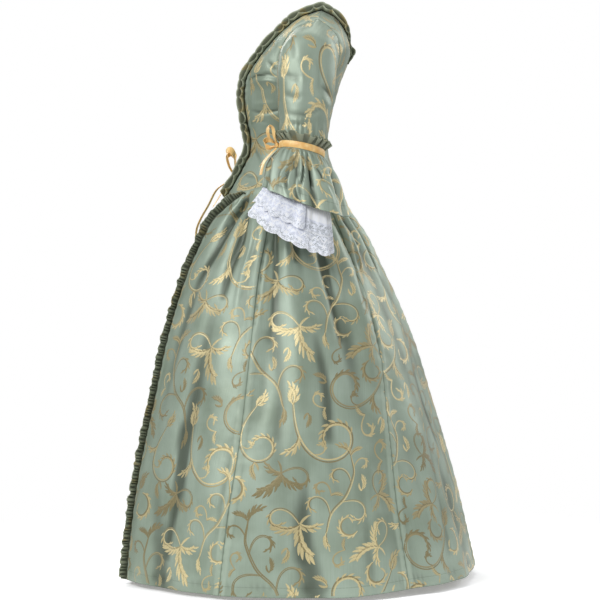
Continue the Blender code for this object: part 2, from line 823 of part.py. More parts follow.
def tie(name, kind, route, across, width, shape, centre, gold, flip=np.asarray):
    """One loop or tail of a bow, turned to its side by flip."""
    loop = kind == "loop"
    steps = LOOP_STEPS if loop else TAIL_STEPS
    grid, out = tied_on(route, width, np.array(across), steps, loop, shape)
    wall(name, flip(grid + centre), flip(out), TRIM, gold)


def make_waist_bow(centre_panel, gold):
    """The bow on the ridge of the bodice's centre panel."""
    ridge = centre_panel[:, CENTRE_COLUMNS // 2]
    above = np.searchsorted(ridge[:, 2], WAIST_KNOT_Z)
    along = ridge[above] - ridge[above - 1]
    foot = ridge[above - 1] + along * (WAIST_KNOT_Z - ridge[above - 1, 2]) / along[2]
    outward = np.cross(along, (-1.0, 0.0, 0.0))
    outward /= np.linalg.norm(outward)
    shape = knot_shape(WAIST_KNOT_SIZE)
    centre = knot_centre(shape, foot, outward)
    add_solid("waist_bow_knot", shape[0] + centre, shape[1], gold)
    for side, flip, tail in zip(("left", "right"), (np.asarray, mirrored), WAIST_TAILS):
        for kind, route, across in (
            ("loop", WAIST_LOOP, WAIST_LOOP_ACROSS),
            ("tail", tail, WAIST_TAIL_ACROSS),
        ):
            name = f"waist_bow_{kind}_{side}"
            tie(name, kind, route, across, WAIST_RIBBON, shape, centre, gold, flip)


def make_sleeve_bows(band, gold):
    """The bow on each sleeve's ribbon, at the middle of the side of it that faces the front."""
    front = SLEEVE_COLUMNS * 270 // 360
    face = band[:, front : front + 2]
    foot = face.mean(axis=(0, 1))
    outward = np.cross(face[0, 1] - face[0, 0], face[1, 0] - face[0, 0])
    outward *= -np.sign(outward[1]) / np.linalg.norm(outward)
    shape = knot_shape(SLEEVE_KNOT_SIZE)
    centre = knot_centre(shape, foot, outward)
    for side, flip in (("left", np.asarray), ("right", mirrored)):
        name = "sleeve_bow_" + side
        add_solid(name + "_knot", flip(shape[0] + centre), shape[1], gold)
        for kind, routes, widths_across in (
            ("loop", SLEEVE_LOOPS, SLEEVE_LOOPS_ACROSS),
            ("tail", SLEEVE_TAILS, SLEEVE_TAILS_ACROSS),
        ):
            for number, (route, across) in enumerate(zip(routes, widths_across), 1):
                piece = f"{name}_{kind}_{number}"
                tie(piece, kind, route, across, SLEEVE_RIBBON, shape, centre, gold, flip)


def finish(name, colour, roughness):
    material = bpy.data.materials.new(name)
    material.use_nodes = True
    shader = material.node_tree.nodes["Principled BSDF"]
    shader.inputs["Base Color"].default_value = (*colour, 1.0)
    shader.inputs["Roughness"].default_value = roughness
    shader.inputs["Metallic"].default_value = 0.0
    return material


def main():
    for found in list(bpy.data.objects):
        bpy.data.objects.remove(found, do_unlink=True)
    cloth = finish("brocade", BROCADE_COLOUR, 0.45)
    gold = finish("gold_satin", GOLD_COLOUR, 0.35)
    net = finish("white_lace", LACE_COLOUR, 0.7)

    skirt = make_skirt(cloth)
    front, back, centre = make_bodice(cloth)
    sleeve = make_sleeve(cloth)
    flounce, flounce_outward = make_flounce(sleeve, cloth)
    make_lace(flounce, flounce_outward, net)
    band = make_sleeve_trim(sleeve, cloth, gold)

    nape = LOWER_ROWS + NECK_ROW
    neck = started_late(np.concatenate([front[:, 0], back[-2:nape:-1, 0]]), RUFFLE_CLEAR, 0)
    opening = started_late(skirt[::-1, 0], RUFFLE_CLEAR, -1)
    ruffle(
        "bodice_ruffle", neck, BODICE_RUFFLE_WAVES, BODICE_RUFFLE_WIDTH, BODICE_RUFFLE_DEPTH, cloth
    )
    ruffle(
        "skirt_ruffle", opening, SKIRT_RUFFLE_WAVES, SKIRT_RUFFLE_WIDTH, SKIRT_RUFFLE_DEPTH, cloth
    )
    make_waist_bow(centre, gold)
    make_sleeve_bows(band, gold)


main()
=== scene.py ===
"""Looks of the renaissance gown: fine cloth shells, woven pattern, trims, light and camera.

Metres, +Z up. The gown faces -Y and the wearer's left is +X. The origin is between the shoulders.
"""

import json
import math

import bpy
import numpy as np
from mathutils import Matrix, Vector

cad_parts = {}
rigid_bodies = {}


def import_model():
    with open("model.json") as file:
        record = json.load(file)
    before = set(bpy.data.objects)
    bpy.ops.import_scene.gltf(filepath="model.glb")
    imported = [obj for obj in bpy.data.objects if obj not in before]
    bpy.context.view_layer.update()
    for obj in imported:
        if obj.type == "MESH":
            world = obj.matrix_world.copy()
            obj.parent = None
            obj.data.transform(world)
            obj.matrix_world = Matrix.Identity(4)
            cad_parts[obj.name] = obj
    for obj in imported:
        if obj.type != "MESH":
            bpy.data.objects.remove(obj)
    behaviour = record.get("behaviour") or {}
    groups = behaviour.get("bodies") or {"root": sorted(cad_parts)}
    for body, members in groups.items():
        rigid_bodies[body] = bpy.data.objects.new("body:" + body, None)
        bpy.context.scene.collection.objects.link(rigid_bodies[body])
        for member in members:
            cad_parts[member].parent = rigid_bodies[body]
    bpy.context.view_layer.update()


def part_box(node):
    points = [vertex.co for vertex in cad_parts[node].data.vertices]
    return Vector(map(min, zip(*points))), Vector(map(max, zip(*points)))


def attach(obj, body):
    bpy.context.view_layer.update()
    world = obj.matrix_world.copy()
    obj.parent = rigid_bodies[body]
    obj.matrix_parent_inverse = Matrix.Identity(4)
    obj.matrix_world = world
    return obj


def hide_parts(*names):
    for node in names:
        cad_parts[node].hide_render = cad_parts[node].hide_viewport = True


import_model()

# Cloth thicknesses, gaps at seams and under trims, and how far edges are let out so that seams close
BROCADE = 0.0016
TRIM = 0.0009
LACE = 0.0008
SEAM = 0.0004
SEAT = 0.0005
WAIST_GAP = 0.0003
LET_OUT = 0.0001


def mm(*rows):
    return np.array(rows) / 1000


def creases(across, *rows):
    """Points, half width and depth of creases, from rows in mm. Across divides each point's first number."""
    return [(np.reshape(row[2:], (-1, 2)) / (across, 1000), row[0] / 1000, row[1] / 1000) for row in rows]


# Skirt creases: half width, depth (minus stands out), then the angle from the front and z of each point
SKIRT_CREASES = creases(
    1,
    (7, 9, 54, -460, 49, -490, 47, -520, 45, -550), (9, 8, 61, -480, 61, -550, 57, -630, 56, -710),
    (7, -5, 68, -490, 68, -560, 65, -650, 64, -760), (6, 7, 79, -550, 76, -620, 75, -680, 74, -780),
    (10, -4, 82, -590, 80, -680, 79, -780), (8, 7, 98, -470, 97, -540, 95, -620),
    (7, 7, 111, -600, 112, -660, 113, -730, 113, -810), (9, -6, 120, -560, 118, -620, 118, -710),
    (7, 11, 138, -510, 138, -550, 138, -600, 134, -660, 131, -730),
    (7, -6, 148, -520, 146, -580, 142, -650), (6, 8, 170, -490, 170, -540, 170, -620, 159, -680),
    (8, 5, 134, -710, 134, -780, 133, -850), (12, -5, 70, -1030, 67, -1180, 62, -1340),
    (22, 4, 92, -940, 93, -1100, 89, -1310), (16, 5, 44, -990, 46, -1130, 44, -1320),
    (20, 5, 112, -1010, 112, -1170, 111, -1360), (16, 5, 150, -1040, 147, -1180, 146, -1320),
    (14, -4, 53, -940, 52, -1100, 56, -1270), (18, -4, 80, -800, 82, -920, 79, -1050),
    (20, 5, 101, -780, 104, -920, 102, -1040), (14, 5, 12, -600, 14, -780, 12, -980),
    (18, -4, 6, -950, 4, -1120, 8, -1330), (18, 6, 163, -780, 160, -930, 163, -1100),
    (18, -5, 174, -980, 172, -1140, 174, -1320),
)

# Creases seen from the side: half width, depth, then y and z of each point
BODICE_CREASES = creases(
    1000,
    (2.4, 3.4, -182, -170, -160, -161, -136, -160, -110, -167),
    (4, -2.4, -182, -184, -156, -175, -127, -177, -107, -184),
    (4.5, 3.2, -175, -242, -146, -250, -117, -247, -90, -240),
    (5, -1.8, -175, -225, -146, -230, -112, -228), (4, 2, -180, -276, -156, -269, -131, -274),
    (5, 2.5, -136, -126, -122, -141, -110, -155), (6, 2, -185, -318, -161, -347, -146, -381),
    (5, 1.8, -200, -391, -176, -406, -146, -410), (5, 1.8, -60, -300, -20, -308, 8, -302),
    (6, -1.6, -110, -352, -60, -362, -20, -356),
)
SLEEVE_CREASES = creases(
    1000,
    (6, 2.4, -61, -47, -42, -43, -21, -52), (7, 2.2, -85, -77, -73, -101, -68, -134),
    (7, 2.8, 17, -63, 36, -92, 45, -120), (6, 2.8, -2, -196, 15, -215, 26, -234),
    (6, -2.2, -16, -210, 3, -231, 19, -250), (7, 2, -97, -216, -63, -228, -40, -225),
    (6, 2.4, -92, -263, -59, -270, -26, -263, 3, -249), (6, 2, -87, -287, -54, -291, -11, -282),
    (8, 1.8, -99, -163, -78, -177, -49, -182), (9, -2.2, -54, -139, -45, -196, -49, -243),
    (9, 1.8, -16, -129, -7, -172, -11, -215),
)
FLOUNCE_CREASES = creases(
    1000,
    (3, 6.2, -45, -378, -47, -411, -54, -439), (3.2, 6.6, -28, -383, -23, -420, -21, -448),
    (5, 4.5, -63, -383, -82, -401, -92, -430, -78, -462), (5.5, -4.2, -78, -387, -99, -406, -108, -439),
    (4, 4.4, -14, -392, -2, -411, 7, -439), (4.5, 3.8, 24, -397, 35, -434, 42, -472),
    (4.5, 3, -129, -387, -134, -415, -129, -434), (4.5, -3.8, -63, -415, -63, -448, -54, -477),
    (5.5, -3.6, 0, -425, 17, -462, 26, -491),
)

# Creases seen from the front and the back: half width, depth, then x and z of each point
FACE_CREASES = creases(
    1000,
    (4.5, 2.2, 6, -252, 34, -259, 66, -254), (5, 2, 12, -300, 40, -309, 72, -303),
    (5, -1.8, 20, -345, 48, -352, 80, -345), (6, 2, 16, -205, 50, -196, 92, -204),
    (6, -1.6, 30, -150, 60, -142, 90, -146),
)
CREASE_STEPS = 13
CREASE_TAPER = 0.6

# Body and skirt sections: z, y of the front edge, y of the back, half width, x of the front edge
SECTIONS = mm(
    (-105, -166, 63, 157, 92), (-157, -187, 48, 160, 86), (-195, -191, 37, 153, 82),
    (-257, -186, 22, 139, 75), (-317, -175, 14, 130, 70), (-345, -178, 17, 132, 68),
    (-384, -196, 30, 145, 66), (-437, -226, 52, 166, 64), (-480, -254, 71, 184, 66),
    (-510, -278, 91, 199, 70), (-550, -297, 118, 218, 78), (-610, -318, 147, 243, 88),
    (-700, -348, 187, 283, 102), (-820, -379, 231, 326, 120), (-940, -403, 266, 362, 137),
    (-1060, -427, 303, 394, 151), (-1180, -446, 338, 421, 163), (-1300, -459, 368, 441, 173),
    (-1385, -466, 387, 452, 180),
)
CENTRE_BOW = 0.004
ARMPIT_Z = -0.195
EDGE_STEPS = 30

# Waist seam and hem: angle from the front, z of the waist seam, z of the hem
WAIST_AND_HEM = np.array((
    (0, -0.462, -1.376), (24, -0.443, -1.378), (50, -0.441, -1.381), (90, -0.424, -1.382),
    (135, -0.414, -1.372), (180, -0.41, -1.367),
))

# Skirt seams: z, angle of the side front seam, angle of the side back seam
SKIRT_SEAMS = np.array((
    (-0.4, 82, 141), (-0.55, 77.5, 139.5), (-0.65, 74.3, 136), (-0.8, 73, 134), (-1.02, 70.8, 128.5),
    (-1.2, 67.6, 125.5), (-1.4, 64.5, 125),
))

# How much wider than the bodice's front edges the skirt opens: z, angle on each side
SKIRT_OPENING = np.array((
    (-0.425, 28), (-0.445, 26.5), (-0.468, 18), (-0.487, 12.5), (-0.516, 8.2), (-0.543, 6.2),
    (-0.571, 4), (-0.62, 0),
))

# Skirt folds: angle at the waist, angle at the end, half width in degrees, depth, length
SKIRT_FOLDS = (
    (55.5, 33, 4, 0.03, 0.27), (60, 62, 4.5, 0.014, 0.4), (70, 66, 5, 0.012, 0.6),
    (83.5, 77, 5, 0.036, 0.72), (99, 97, 6, 0.02, 0.5), (113, 116, 5.5, 0.028, 0.62),
    (135.5, 141, 5, 0.034, 0.42), (151, 150, 5.5, 0.026, 0.7), (168, 165, 6, 0.028, 0.56),
)
FOLD_SPREAD = 0.6
FOLD_START = 0.06
HEM_WAVES = 9
HEM_WAVE_DEPTH = 0.007
HEM_WAVE_TURN = 0.6
HEM_WAVE_START = 0.25
HEM_WAVE_RUN = 0.7

# The way out over the shoulders: y of the middle there, how steeply and how fast it rises
SHOULDER_MIDDLE = -0.006
SHOULDER_RISE = 2.1
SHOULDER_POWER = 1.5
RING_TILT = 0.3

# Bodice edges above the armpit, from the armpit row up to the shoulder seam: x, y, z
NECK_FRONT = mm(
    (85, -186, -165), (90, -168, -134), (98, -132, -88), (105, -91, -46), (110, -49, -15), (112, -2, 0),
)
ARMHOLE_FRONT = mm(
    (151, -82, -176), (155, -100, -135), (160, -94, -90), (167, -69, -56), (172, -39, -38),
    (174, -10, -31),
)
NECK_BACK = mm(
    (0, 52, -140), (0, 68, -85), (50, 64, -66), (85, 53, -43), (104, 33, -18), (112, -2, 0),
)
ARMHOLE_BACK = mm(
    (150, -10, -180), (152, 28, -145), (157, 42, -106), (163, 38, -76), (169, 18, -51), (174, -10, -31),
)

# Sections below a sleeve's top: centre x, y, z, outward x and z, half depth, drop at the back
SLEEVE = mm(
    (189, -36, -142, 34, 66, 71, 0), (200, -40, -196, 41, 55, 70, 3), (207, -44, -248, 43, 36, 63, 8),
    (213, -47, -303, 43, 17, 56, 10), (220, -50, -357, 42, 7, 52, 11),
)
FLOUNCE = mm(
    (220, -50, -357, 42, 7, 52, 11), (235, -48, -395, 47, -2, 84, 18),
    (248, -40, -474, 52, -10, 106, 36),
)
LACE_FALL = mm(
    (236, -52, -408, 24, -2, 56, 18), (247, -61, -486, 33, -14, 79, 36),
    (277, -75, -545, 41, -26, 98, 48),
)

# Flounce pleats: angle round the sleeve from its outer side towards the back, half width, depth
FLOUNCE_PLEATS = np.array((
    (14, 9, 0.012), (348, 8, 0.011), (318, 12, 0.008), (285, 12, 0.01), (235, 14, 0.008),
    (180, 14, 0.003), (125, 14, 0.009), (68, 14, 0.01),
))
PLEAT_START = 0.5

# Bows: the knot's size, the ribbon's width, its routes from the knot, and the way across it
WAIST_KNOT_SIZE = mm(17, 17, 19)
WAIST_RIBBON = 0.018
WAIST_LOOP = mm(
    (10, -3, 3), (29, -14, 22), (42, -20, 48), (49, -12, 58), (50, -2, 44), (34, 0, 14), (11, 1, -4),
)
WAIST_LOOP_ACROSS = (0.5, 0.0, -1.0)
WAIST_TAILS = (
    mm((4, -2, -10), (11, -28, -36), (16, -44, -62), (20, -56, -82)),
    mm((4, -4, -10), (12, -46, -34), (20, -68, -74), (28, -90, -112), (32, -100, -140), (34, -102, -178)),
)
WAIST_TAIL_ACROSS = (1.0, 0.2, 0.0)
SLEEVE_KNOT_SIZE = mm(11, 10, 13)
SLEEVE_RIBBON = 0.014
SLEEVE_LOOPS = (
    mm((7, -1, 6), (15, -6, 20), (19, -8, 36), (15, -17, 45), (9, -24, 33), (4, -21, 18), (-2, -10, 5)),
    mm(
        (-7, -2, 4), (-14, -12, 13), (-20, -23, 16), (-20, -31, 8), (-14, -28, -3),
        (-9, -18, -5), (-6, -6, -3),
    ),
)
SLEEVE_LOOPS_ACROSS = ((1.0, 0.6, 0.0), (0.5, -0.2, 1.0))
SLEEVE_TAILS = (
    mm((-3, -4, -7), (-8, -21, -22), (-8, -34, -36), (-9, -43, -50)),
    mm((6, -2, -7), (16, -19, -24), (22, -34, -46), (25, -40, -72)),
)
SLEEVE_TAILS_ACROSS = ((1.0, 0.0, 0.0), (1.0, 0.5, 0.0))
KNOT_SHARE = 0.4
KNOT_TAPER = 0.3


# Numbers and curves


def norm(vectors):
    return np.linalg.norm(vectors, axis=-1)


def unit(vectors):
    return vectors / np.maximum(norm(vectors), 1e-12)[..., None]


def between(start, end, share):
    return start + (end - start) * share


def shares(count):
    return np.linspace(0, 1, count)


def summed(steps):
    return np.concatenate([[0.0], np.cumsum(steps)])


def bell(x):
    return np.exp(-(x**2))


def ease(x):
    """A smooth rise from 0 to 1 where x goes from 0 to 1."""
    x = np.clip(x, 0.0, 1.0)
    return x * x * (3 - 2 * x)


def mirrored(points):
    return np.asarray(points) * (-1.0, 1.0, 1.0)


SIDES = (("left", np.asarray, 0), ("right", mirrored, 1))


def hermite(knots, values, at):
    """Smooth curve through values at rising knots that never overshoots them."""
    knots, values = np.asarray(knots, float), np.asarray(values, float)
    at = np.clip(np.asarray(at, float), knots[0], knots[-1])
    columns = (1,) * (values.ndim - 1)
    steps = np.diff(values, axis=0) / np.diff(knots).reshape(-1, *columns)
    before, after = steps[:-1], steps[1:]
    turning = before * after <= 0
    inner = np.where(turning, 0.0, 2 * before * after / np.where(turning, 1.0, before + after))
    slopes = np.concatenate([steps[:1], inner, steps[-1:]])
    left = np.clip(np.searchsorted(knots, at, side="right") - 1, 0, len(knots) - 2)
    span = np.reshape(knots[left + 1] - knots[left], at.shape + columns)
    t = np.reshape(at - knots[left], at.shape + columns) / span
    line = between(values[left], values[left + 1], t * t * (3 - 2 * t))
    return line + span * t * (1 - t) * (slopes[left] * (1 - t) - slopes[left + 1] * t)


def curve(points, share):
    """Points at shares of the way along a smooth curve through points."""
    return hermite(np.arange(len(points)), points, share * (len(points) - 1))


def by_length(line, count):
    """Points at equal steps along a line of straight stretches."""
    run = summed(norm(np.diff(line, axis=0)))
    return np.stack([np.interp(shares(count) * run[-1], run, x) for x in line.T], axis=-1)


def wander(at, seed, spread):
    """Uneven values round 1 that change from one whole number of the way to the next."""
    values = np.random.default_rng(seed).uniform(1 - spread, 1 + spread, int(np.max(at)) + 2)
    return np.interp(at, np.arange(len(values)), values)


def at_steps(ring, at):
    """A closed ring's values at steps along it."""
    left = at.astype(int)
    return between(ring[left], np.roll(ring, -1, axis=0)[left], (at - left)[:, None])


# The body, and the edges of its pieces as functions of the height


def at_height(table, z):
    """The other columns of a table whose first column is a falling height."""
    return np.moveaxis(hermite(table[::-1, 0], table[::-1, 1:], z), -1, 0)


def front_edge(z):
    _, _, half_width, edge_x = at_height(SECTIONS, z)
    return np.degrees(np.arcsin(edge_x / half_width))


def skirt_front_edge(z):
    return front_edge(z) + at_height(SKIRT_OPENING, z)[0]


def other(edge):
    """The same edge on the wearer's right."""
    return lambda z: -edge(z)


def straight(angle):
    return lambda z: angle + 0 * z


def skirt_seam(column):
    return lambda z: at_height(SKIRT_SEAMS, z)[column]


def end_z(column):
    """The height of the waist seam or the hem as a function of the angle."""
    return lambda angle: hermite(WAIST_AND_HEM[:, 0], WAIST_AND_HEM[:, column], np.abs(angle))


side_seam = straight(104.0)
back_centre = straight(180.0)
side_front = skirt_seam(0)
side_back = skirt_seam(1)
waist_z = end_z(1)
hem_z = end_z(2)


def body(angle, z):
    """A point of the cloth at an angle from the front and a height, before any fold."""
    front, back, half_width, edge_x = at_height(SECTIONS, z)
    turn = np.radians(angle)
    middle = (front + back) / 2
    edge_turn = np.arcsin(edge_x / half_width)
    round_front = middle - (middle - front) * np.cos(turn) / np.cos(edge_turn)
    round_back = middle - (back - middle) * np.cos(turn)
    flat_front = front - CENTRE_BOW * (1 - np.clip(turn / edge_turn, -1, 1) ** 2)
    y = np.where(np.cos(turn) < 0, round_back, round_front)
    y = np.where(np.abs(turn) < edge_turn, flat_front, y)
    return np.stack([half_width * np.sin(turn), y, z + 0 * turn], axis=-1)


def body_outward(points):
    """The direction away from the wearer, level on the body and rising over the shoulders."""
    x, y, z = np.moveaxis(points, -1, 0)
    front, back, _, _ = at_height(SECTIONS, np.minimum(z, ARMPIT_Z))
    shoulder = np.clip((z - ARMPIT_Z) / -ARMPIT_Z, 0, 1)
    middle = between((front + back) / 2, SHOULDER_MIDDLE, shoulder)
    rise = SHOULDER_RISE * shoulder**SHOULDER_POWER * np.abs(x)
    return unit(np.stack([x, y - middle, rise], axis=-1))


def end_heights(left_edge, right_edge, across, height_of):
    """The heights of points between two edges, each of which depends on its own angle."""
    height = height_of(np.zeros(len(across)))
    for _ in range(EDGE_STEPS):
        angle = between(left_edge(height), right_edge(height), across)
        height = between(height, height_of(angle), 0.5)
    return height_of(angle)


def fold_depth(angle, drop):
    """How far the skirt's folds sink in, at an angle and a distance below the waist seam."""
    around = np.abs(angle)
    depth = HEM_WAVE_DEPTH * np.sin(np.radians(around) * HEM_WAVES + HEM_WAVE_TURN)
    depth = depth * ease((drop - HEM_WAVE_START) / HEM_WAVE_RUN)
    for start, end, half_width, deepest, run in SKIRT_FOLDS:
        along = drop / run
        middle = between(start, end, np.clip(along, 0, 1))
        shape = bell((around - middle) / (half_width * (1 + FOLD_SPREAD * along)))
        depth = depth + deepest * shape * ease(drop / FOLD_START) * (1 - ease(along))
    return depth


def armhole(turn):
    """The armhole's edge at an angle round the sleeve, from the shoulder over the back."""
    underarm = body(side_seam(np.zeros(1)), np.full(1, ARMPIT_Z))
    turn = turn % 360
    back = curve(np.concatenate([underarm, ARMHOLE_BACK]), 1 - turn / 180)
    front = curve(np.concatenate([underarm, ARMHOLE_FRONT]), turn / 180 - 1)
    return np.where((turn <= 180)[:, None], back, front)


def turns(count):
    """Angles round a sleeve in degrees, from its inner side."""
    return np.arange(count) * 360 / count - 180


def sleeve_ring(row, turn):
    """One section: round its centre from the outer side towards the back."""
    x, y, z, out_x, out_z, half_depth, drop = row
    turn = np.radians(turn)[:, None]
    return (x, y, z) + np.cos(turn) * (out_x, 0.0, out_z) + np.sin(turn) * (0.0, half_depth, -drop)


def ring_outward(grid):
    """The mostly level direction away from the middle of each row of a sleeve."""
    return unit((grid - grid.mean(axis=1, keepdims=True)) * (1, 1, RING_TILT))


def pleat_depth(turn):
    middle, half_width, deepest = FLOUNCE_PLEATS.T
    away = (turn[:, None] - middle + 180) % 360 - 180
    return (deepest * bell(away / half_width)).sum(axis=1)


# Measures of a grid


def closed_grid(grid, loop):
    """The grid with its first column again at its end if it is a tube."""
    return np.concatenate([grid, grid[:, :1]], axis=1) if loop else grid


def normals_of(grid, loop):
    """Normals of a grid, which point out of a tube whose rows run down."""
    across = np.roll(grid, -1, axis=1) - np.roll(grid, 1, axis=1) if loop else np.gradient(grid, axis=1)
    return unit(np.cross(np.gradient(grid, axis=0), across))


def grid_normals(grid, out, loop):
    """Normals of a grid, on the side of the outward directions."""
    normals = normals_of(grid, loop)
    sign = np.sign((normals * out).sum(axis=-1, keepdims=True))
    return normals * np.where(sign == 0, 1, sign)


def handedness(grid, out):
    """1 where columns to rows turn so that a cell's corners face outwards, else -1."""
    across, down = grid[:-1, 1:] - grid[:-1, :-1], grid[1:, :-1] - grid[:-1, :-1]
    return np.sign((np.cross(across, down) * out[:-1, :-1]).sum())


def cloth_plane(grid, loop=False):
    """Cloth coordinates of a grid: across each row from its middle, and down the piece."""
    grid = closed_grid(grid, loop)
    u = np.pad(np.cumsum(norm(np.diff(grid, axis=1)), axis=1), ((0, 0), (1, 0)))
    middle = u.shape[1] // 2
    return u - u[:, middle : middle + 1], summed(norm(np.diff(grid, axis=0)).mean(axis=1))


def edge_distance(grid):
    """Distance of each point to the nearer side edge of its row."""
    u, _ = cloth_plane(grid)
    return np.minimum(u - u[:, :1], u[:, -1:] - u)


def end_distance(grid):
    """Distance of each row of a tube to its lower end."""
    _, v = cloth_plane(grid, True)
    return (v[-1] - v)[:, None]


def let_out(grid):
    """The grid with each of its four edges let out a little."""
    grid = grid.copy()
    for _ in range(2):
        for edge, beside in ((0, 1), (-1, -2)):
            grid[edge] -= LET_OUT * unit(grid[beside] - grid[edge])
        grid = np.swapaxes(grid, 0, 1)
    return grid


# Creases and seams


def nearest_on(points, line):
    """The distance of points to a line of straight stretches, and the share of its run there."""
    best = np.full(points.shape[:-1], np.inf)
    share = np.zeros(points.shape[:-1])
    for k in range(len(line) - 1):
        step = line[k + 1] - line[k]
        t = np.clip((points - line[k]) @ step / (step @ step), 0, 1)
        away = np.linalg.norm(points - line[k] - t[..., None] * step, axis=-1)
        share = np.where(away < best, (k + t) / (len(line) - 1), share)
        best = np.minimum(best, away)
    return best, share


def crease_depth(points, found, place=None):
    """How far creases sink in at points. Place turns the two columns of a crease into points."""
    depth = np.zeros(points.shape[:-1])
    for line, half_width, deepest in found:
        fine = curve(line, shares(CREASE_STEPS))
        away, share = nearest_on(points, place(*fine.T) if place else fine)
        depth += deepest * bell(away / half_width) * np.sin(math.pi * share) ** CREASE_TAPER
    return depth


def side_depth(points, out, found, middle=None):
    """Creases on the outer side, and with a middle their like on the inner side too."""
    depth = crease_depth(points[..., 1:], found) * ease(out[..., 0] / 0.3)
    if middle is not None:
        turned = points[..., 1:] * (-1, 1) + (2 * middle, 0.006)
        depth = depth + crease_depth(turned, found) * ease(-out[..., 0] / 0.3)
    return depth


# Height or depth, distance or reach, and width or pitch
SEAM_RIDGE = (0.0014, 0.009, 0.0060)
PUCKER = (0.0007, 0.015, 0.027)
HEM_PUCKER = (0.0005, 0.010, 0.013)
HEM_STITCH = 0.022


def seam_depth(seam, run):
    """A seam's soft ridges beside it and small puckers across it."""
    height, away, width = SEAM_RIDGE
    tall, reach, pitch = PUCKER
    turn = 2 * math.pi * run / pitch + 2.6 * np.sin(run / 0.041) + 1.4 * np.sin(run / 0.023 + 1)
    return -height * bell((seam - away) / width) - tall * bell(seam / reach) * np.sin(turn)


def hem_depth(hem, across):
    """The small puckers along a hem's stitching."""
    tall, reach, pitch = HEM_PUCKER
    turn = 2 * math.pi * across / pitch + 1.5 * np.sin(across / 0.039)
    return bell((hem - HEM_STITCH) / reach) * (tall * np.sin(turn) + tall)


# Meshes


def triangles(ids):
    """The two triangles of every cell of a grid of point numbers."""
    a, b, c, d = ids[:-1, :-1], ids[:-1, 1:], ids[1:, 1:], ids[1:, :-1]
    return np.concatenate([np.stack(x, axis=-1).reshape(-1, 3) for x in ((a, b, c), (a, c, d))])


def rim(outer_path, inner_path, step):
    """Triangles between an edge of the outer side and the same edge of the coarser inner side."""
    faces = []
    for k in range(len(inner_path) - 1):
        for j in range(k * step, (k + 1) * step):
            faces.append((outer_path[j + 1], outer_path[j], inner_path[k]))
        faces.append((outer_path[(k + 1) * step], inner_path[k], inner_path[k + 1]))
    return faces


def closed_shell(fine, coarse, loop, step):
    """The triangles of both sides of a shell and of its rims, from two grids of point numbers."""
    edges = [(fine[0], coarse[0]), (fine[-1, ::-1], coarse[-1, ::-1])]
    if not loop:
        edges += [(fine[:, -1], coarse[:, -1]), (fine[::-1, 0], coarse[::-1, 0])]
    rims = [face for outer, inner in edges for face in rim(outer, inner, step)]
    return np.concatenate([triangles(fine), triangles(coarse)[:, ::-1], rims])


def fill(items, label, values, kind=np.float32):
    items.foreach_set(label, np.asarray(values, kind).ravel())


def add_mesh(name, points, faces, uv, materials, slots=None, values=None, sharp=60):
    """An object from triangles, with a cloth coordinate for every corner."""
    mesh = bpy.data.meshes.new(name)
    mesh.vertices.add(len(points))
    mesh.loops.add(faces.size)
    mesh.polygons.add(len(faces))
    fill(mesh.vertices, "co", points)
    fill(mesh.loops, "vertex_index", faces, np.int32)
    fill(mesh.polygons, "loop_start", np.arange(0, faces.size, 3), np.int32)
    fill(mesh.uv_layers.new(name="cloth").data, "uv", uv)
    for material in materials:
        mesh.materials.append(material)
    if slots is not None:
        fill(mesh.polygons, "material_index", slots, np.int32)
    for label, value in (values or {}).items():
        fill(mesh.attributes.new(label, "FLOAT", "POINT").data, "value", value)
    mesh.update(calc_edges=True)
    mesh.validate()
    mesh.shade_smooth()
    mesh.set_sharp_from_angle(angle=math.radians(sharp))
    piece = bpy.data.objects.new(name, mesh)
    bpy.context.scene.collection.objects.link(piece)
    return piece


def gathered_near(depth, reach, loop, pick):
    """The largest or mean depth within some cells of each point, as pick says."""
    for axis in (0, 1):
        pads = [(0, 0), (0, 0)]
        pads[axis] = (reach, reach)
        padded = np.pad(depth, pads, mode="wrap" if loop and axis == 1 else "edge")
        count = depth.shape[axis]
        shifted = [np.take(padded, np.arange(k, k + count), axis) for k in range(2 * reach + 1)]
        depth = pick(shifted, axis=0)
    return depth


def shell(name, grid, out, thickness, materials, loop=False, step=2, values=None, depth=None):
    """A closed thin cloth: the grid as its outer side, and a coarser inner side behind it.

    Depth is how far the grid's creases sink in, so that the inner side stays behind them.
    """
    size = grid.shape[:2]
    back = thickness
    if depth is not None:
        back = thickness + (gathered_near(depth, step, loop, np.max) - depth)[..., None]
    inner = (grid - back * out)[::step, ::step]
    u, v = cloth_plane(grid, loop)
    flat = np.stack(np.broadcast_arrays(u, v[:, None]), axis=-1)
    behind = size[0] * size[1]
    outer_ids = closed_grid(np.arange(behind).reshape(size), loop)
    inner_ids = closed_grid(np.arange(inner.size // 3).reshape(inner.shape[:2]), loop) + behind
    corner_ids = np.arange(u.size).reshape(u.shape)
    faces = closed_shell(outer_ids, inner_ids, loop, step)
    uv = flat.reshape(-1, 2)[closed_shell(corner_ids, corner_ids[::step, ::step], loop, step)]
    slots = (faces >= behind).all(axis=1)
    if handedness(grid, out) < 0:
        faces, uv = faces[:, ::-1], uv[:, ::-1]
    given = {}
    for label, value in (values or {}).items():
        value = np.broadcast_to(value, size)
        given[label] = np.concatenate([value.ravel(), value[::step, ::step].ravel()])
    points = np.concatenate([grid.reshape(-1, 3), inner.reshape(-1, 3)])
    return add_mesh(name, points, faces, uv, materials, slots, given)


# Materials


def colour(r, g, b):
    """A linear colour from a screen colour of 0 to 255."""
    return tuple((x / 255) ** 2.2 for x in (r, g, b)) + (1.0,)


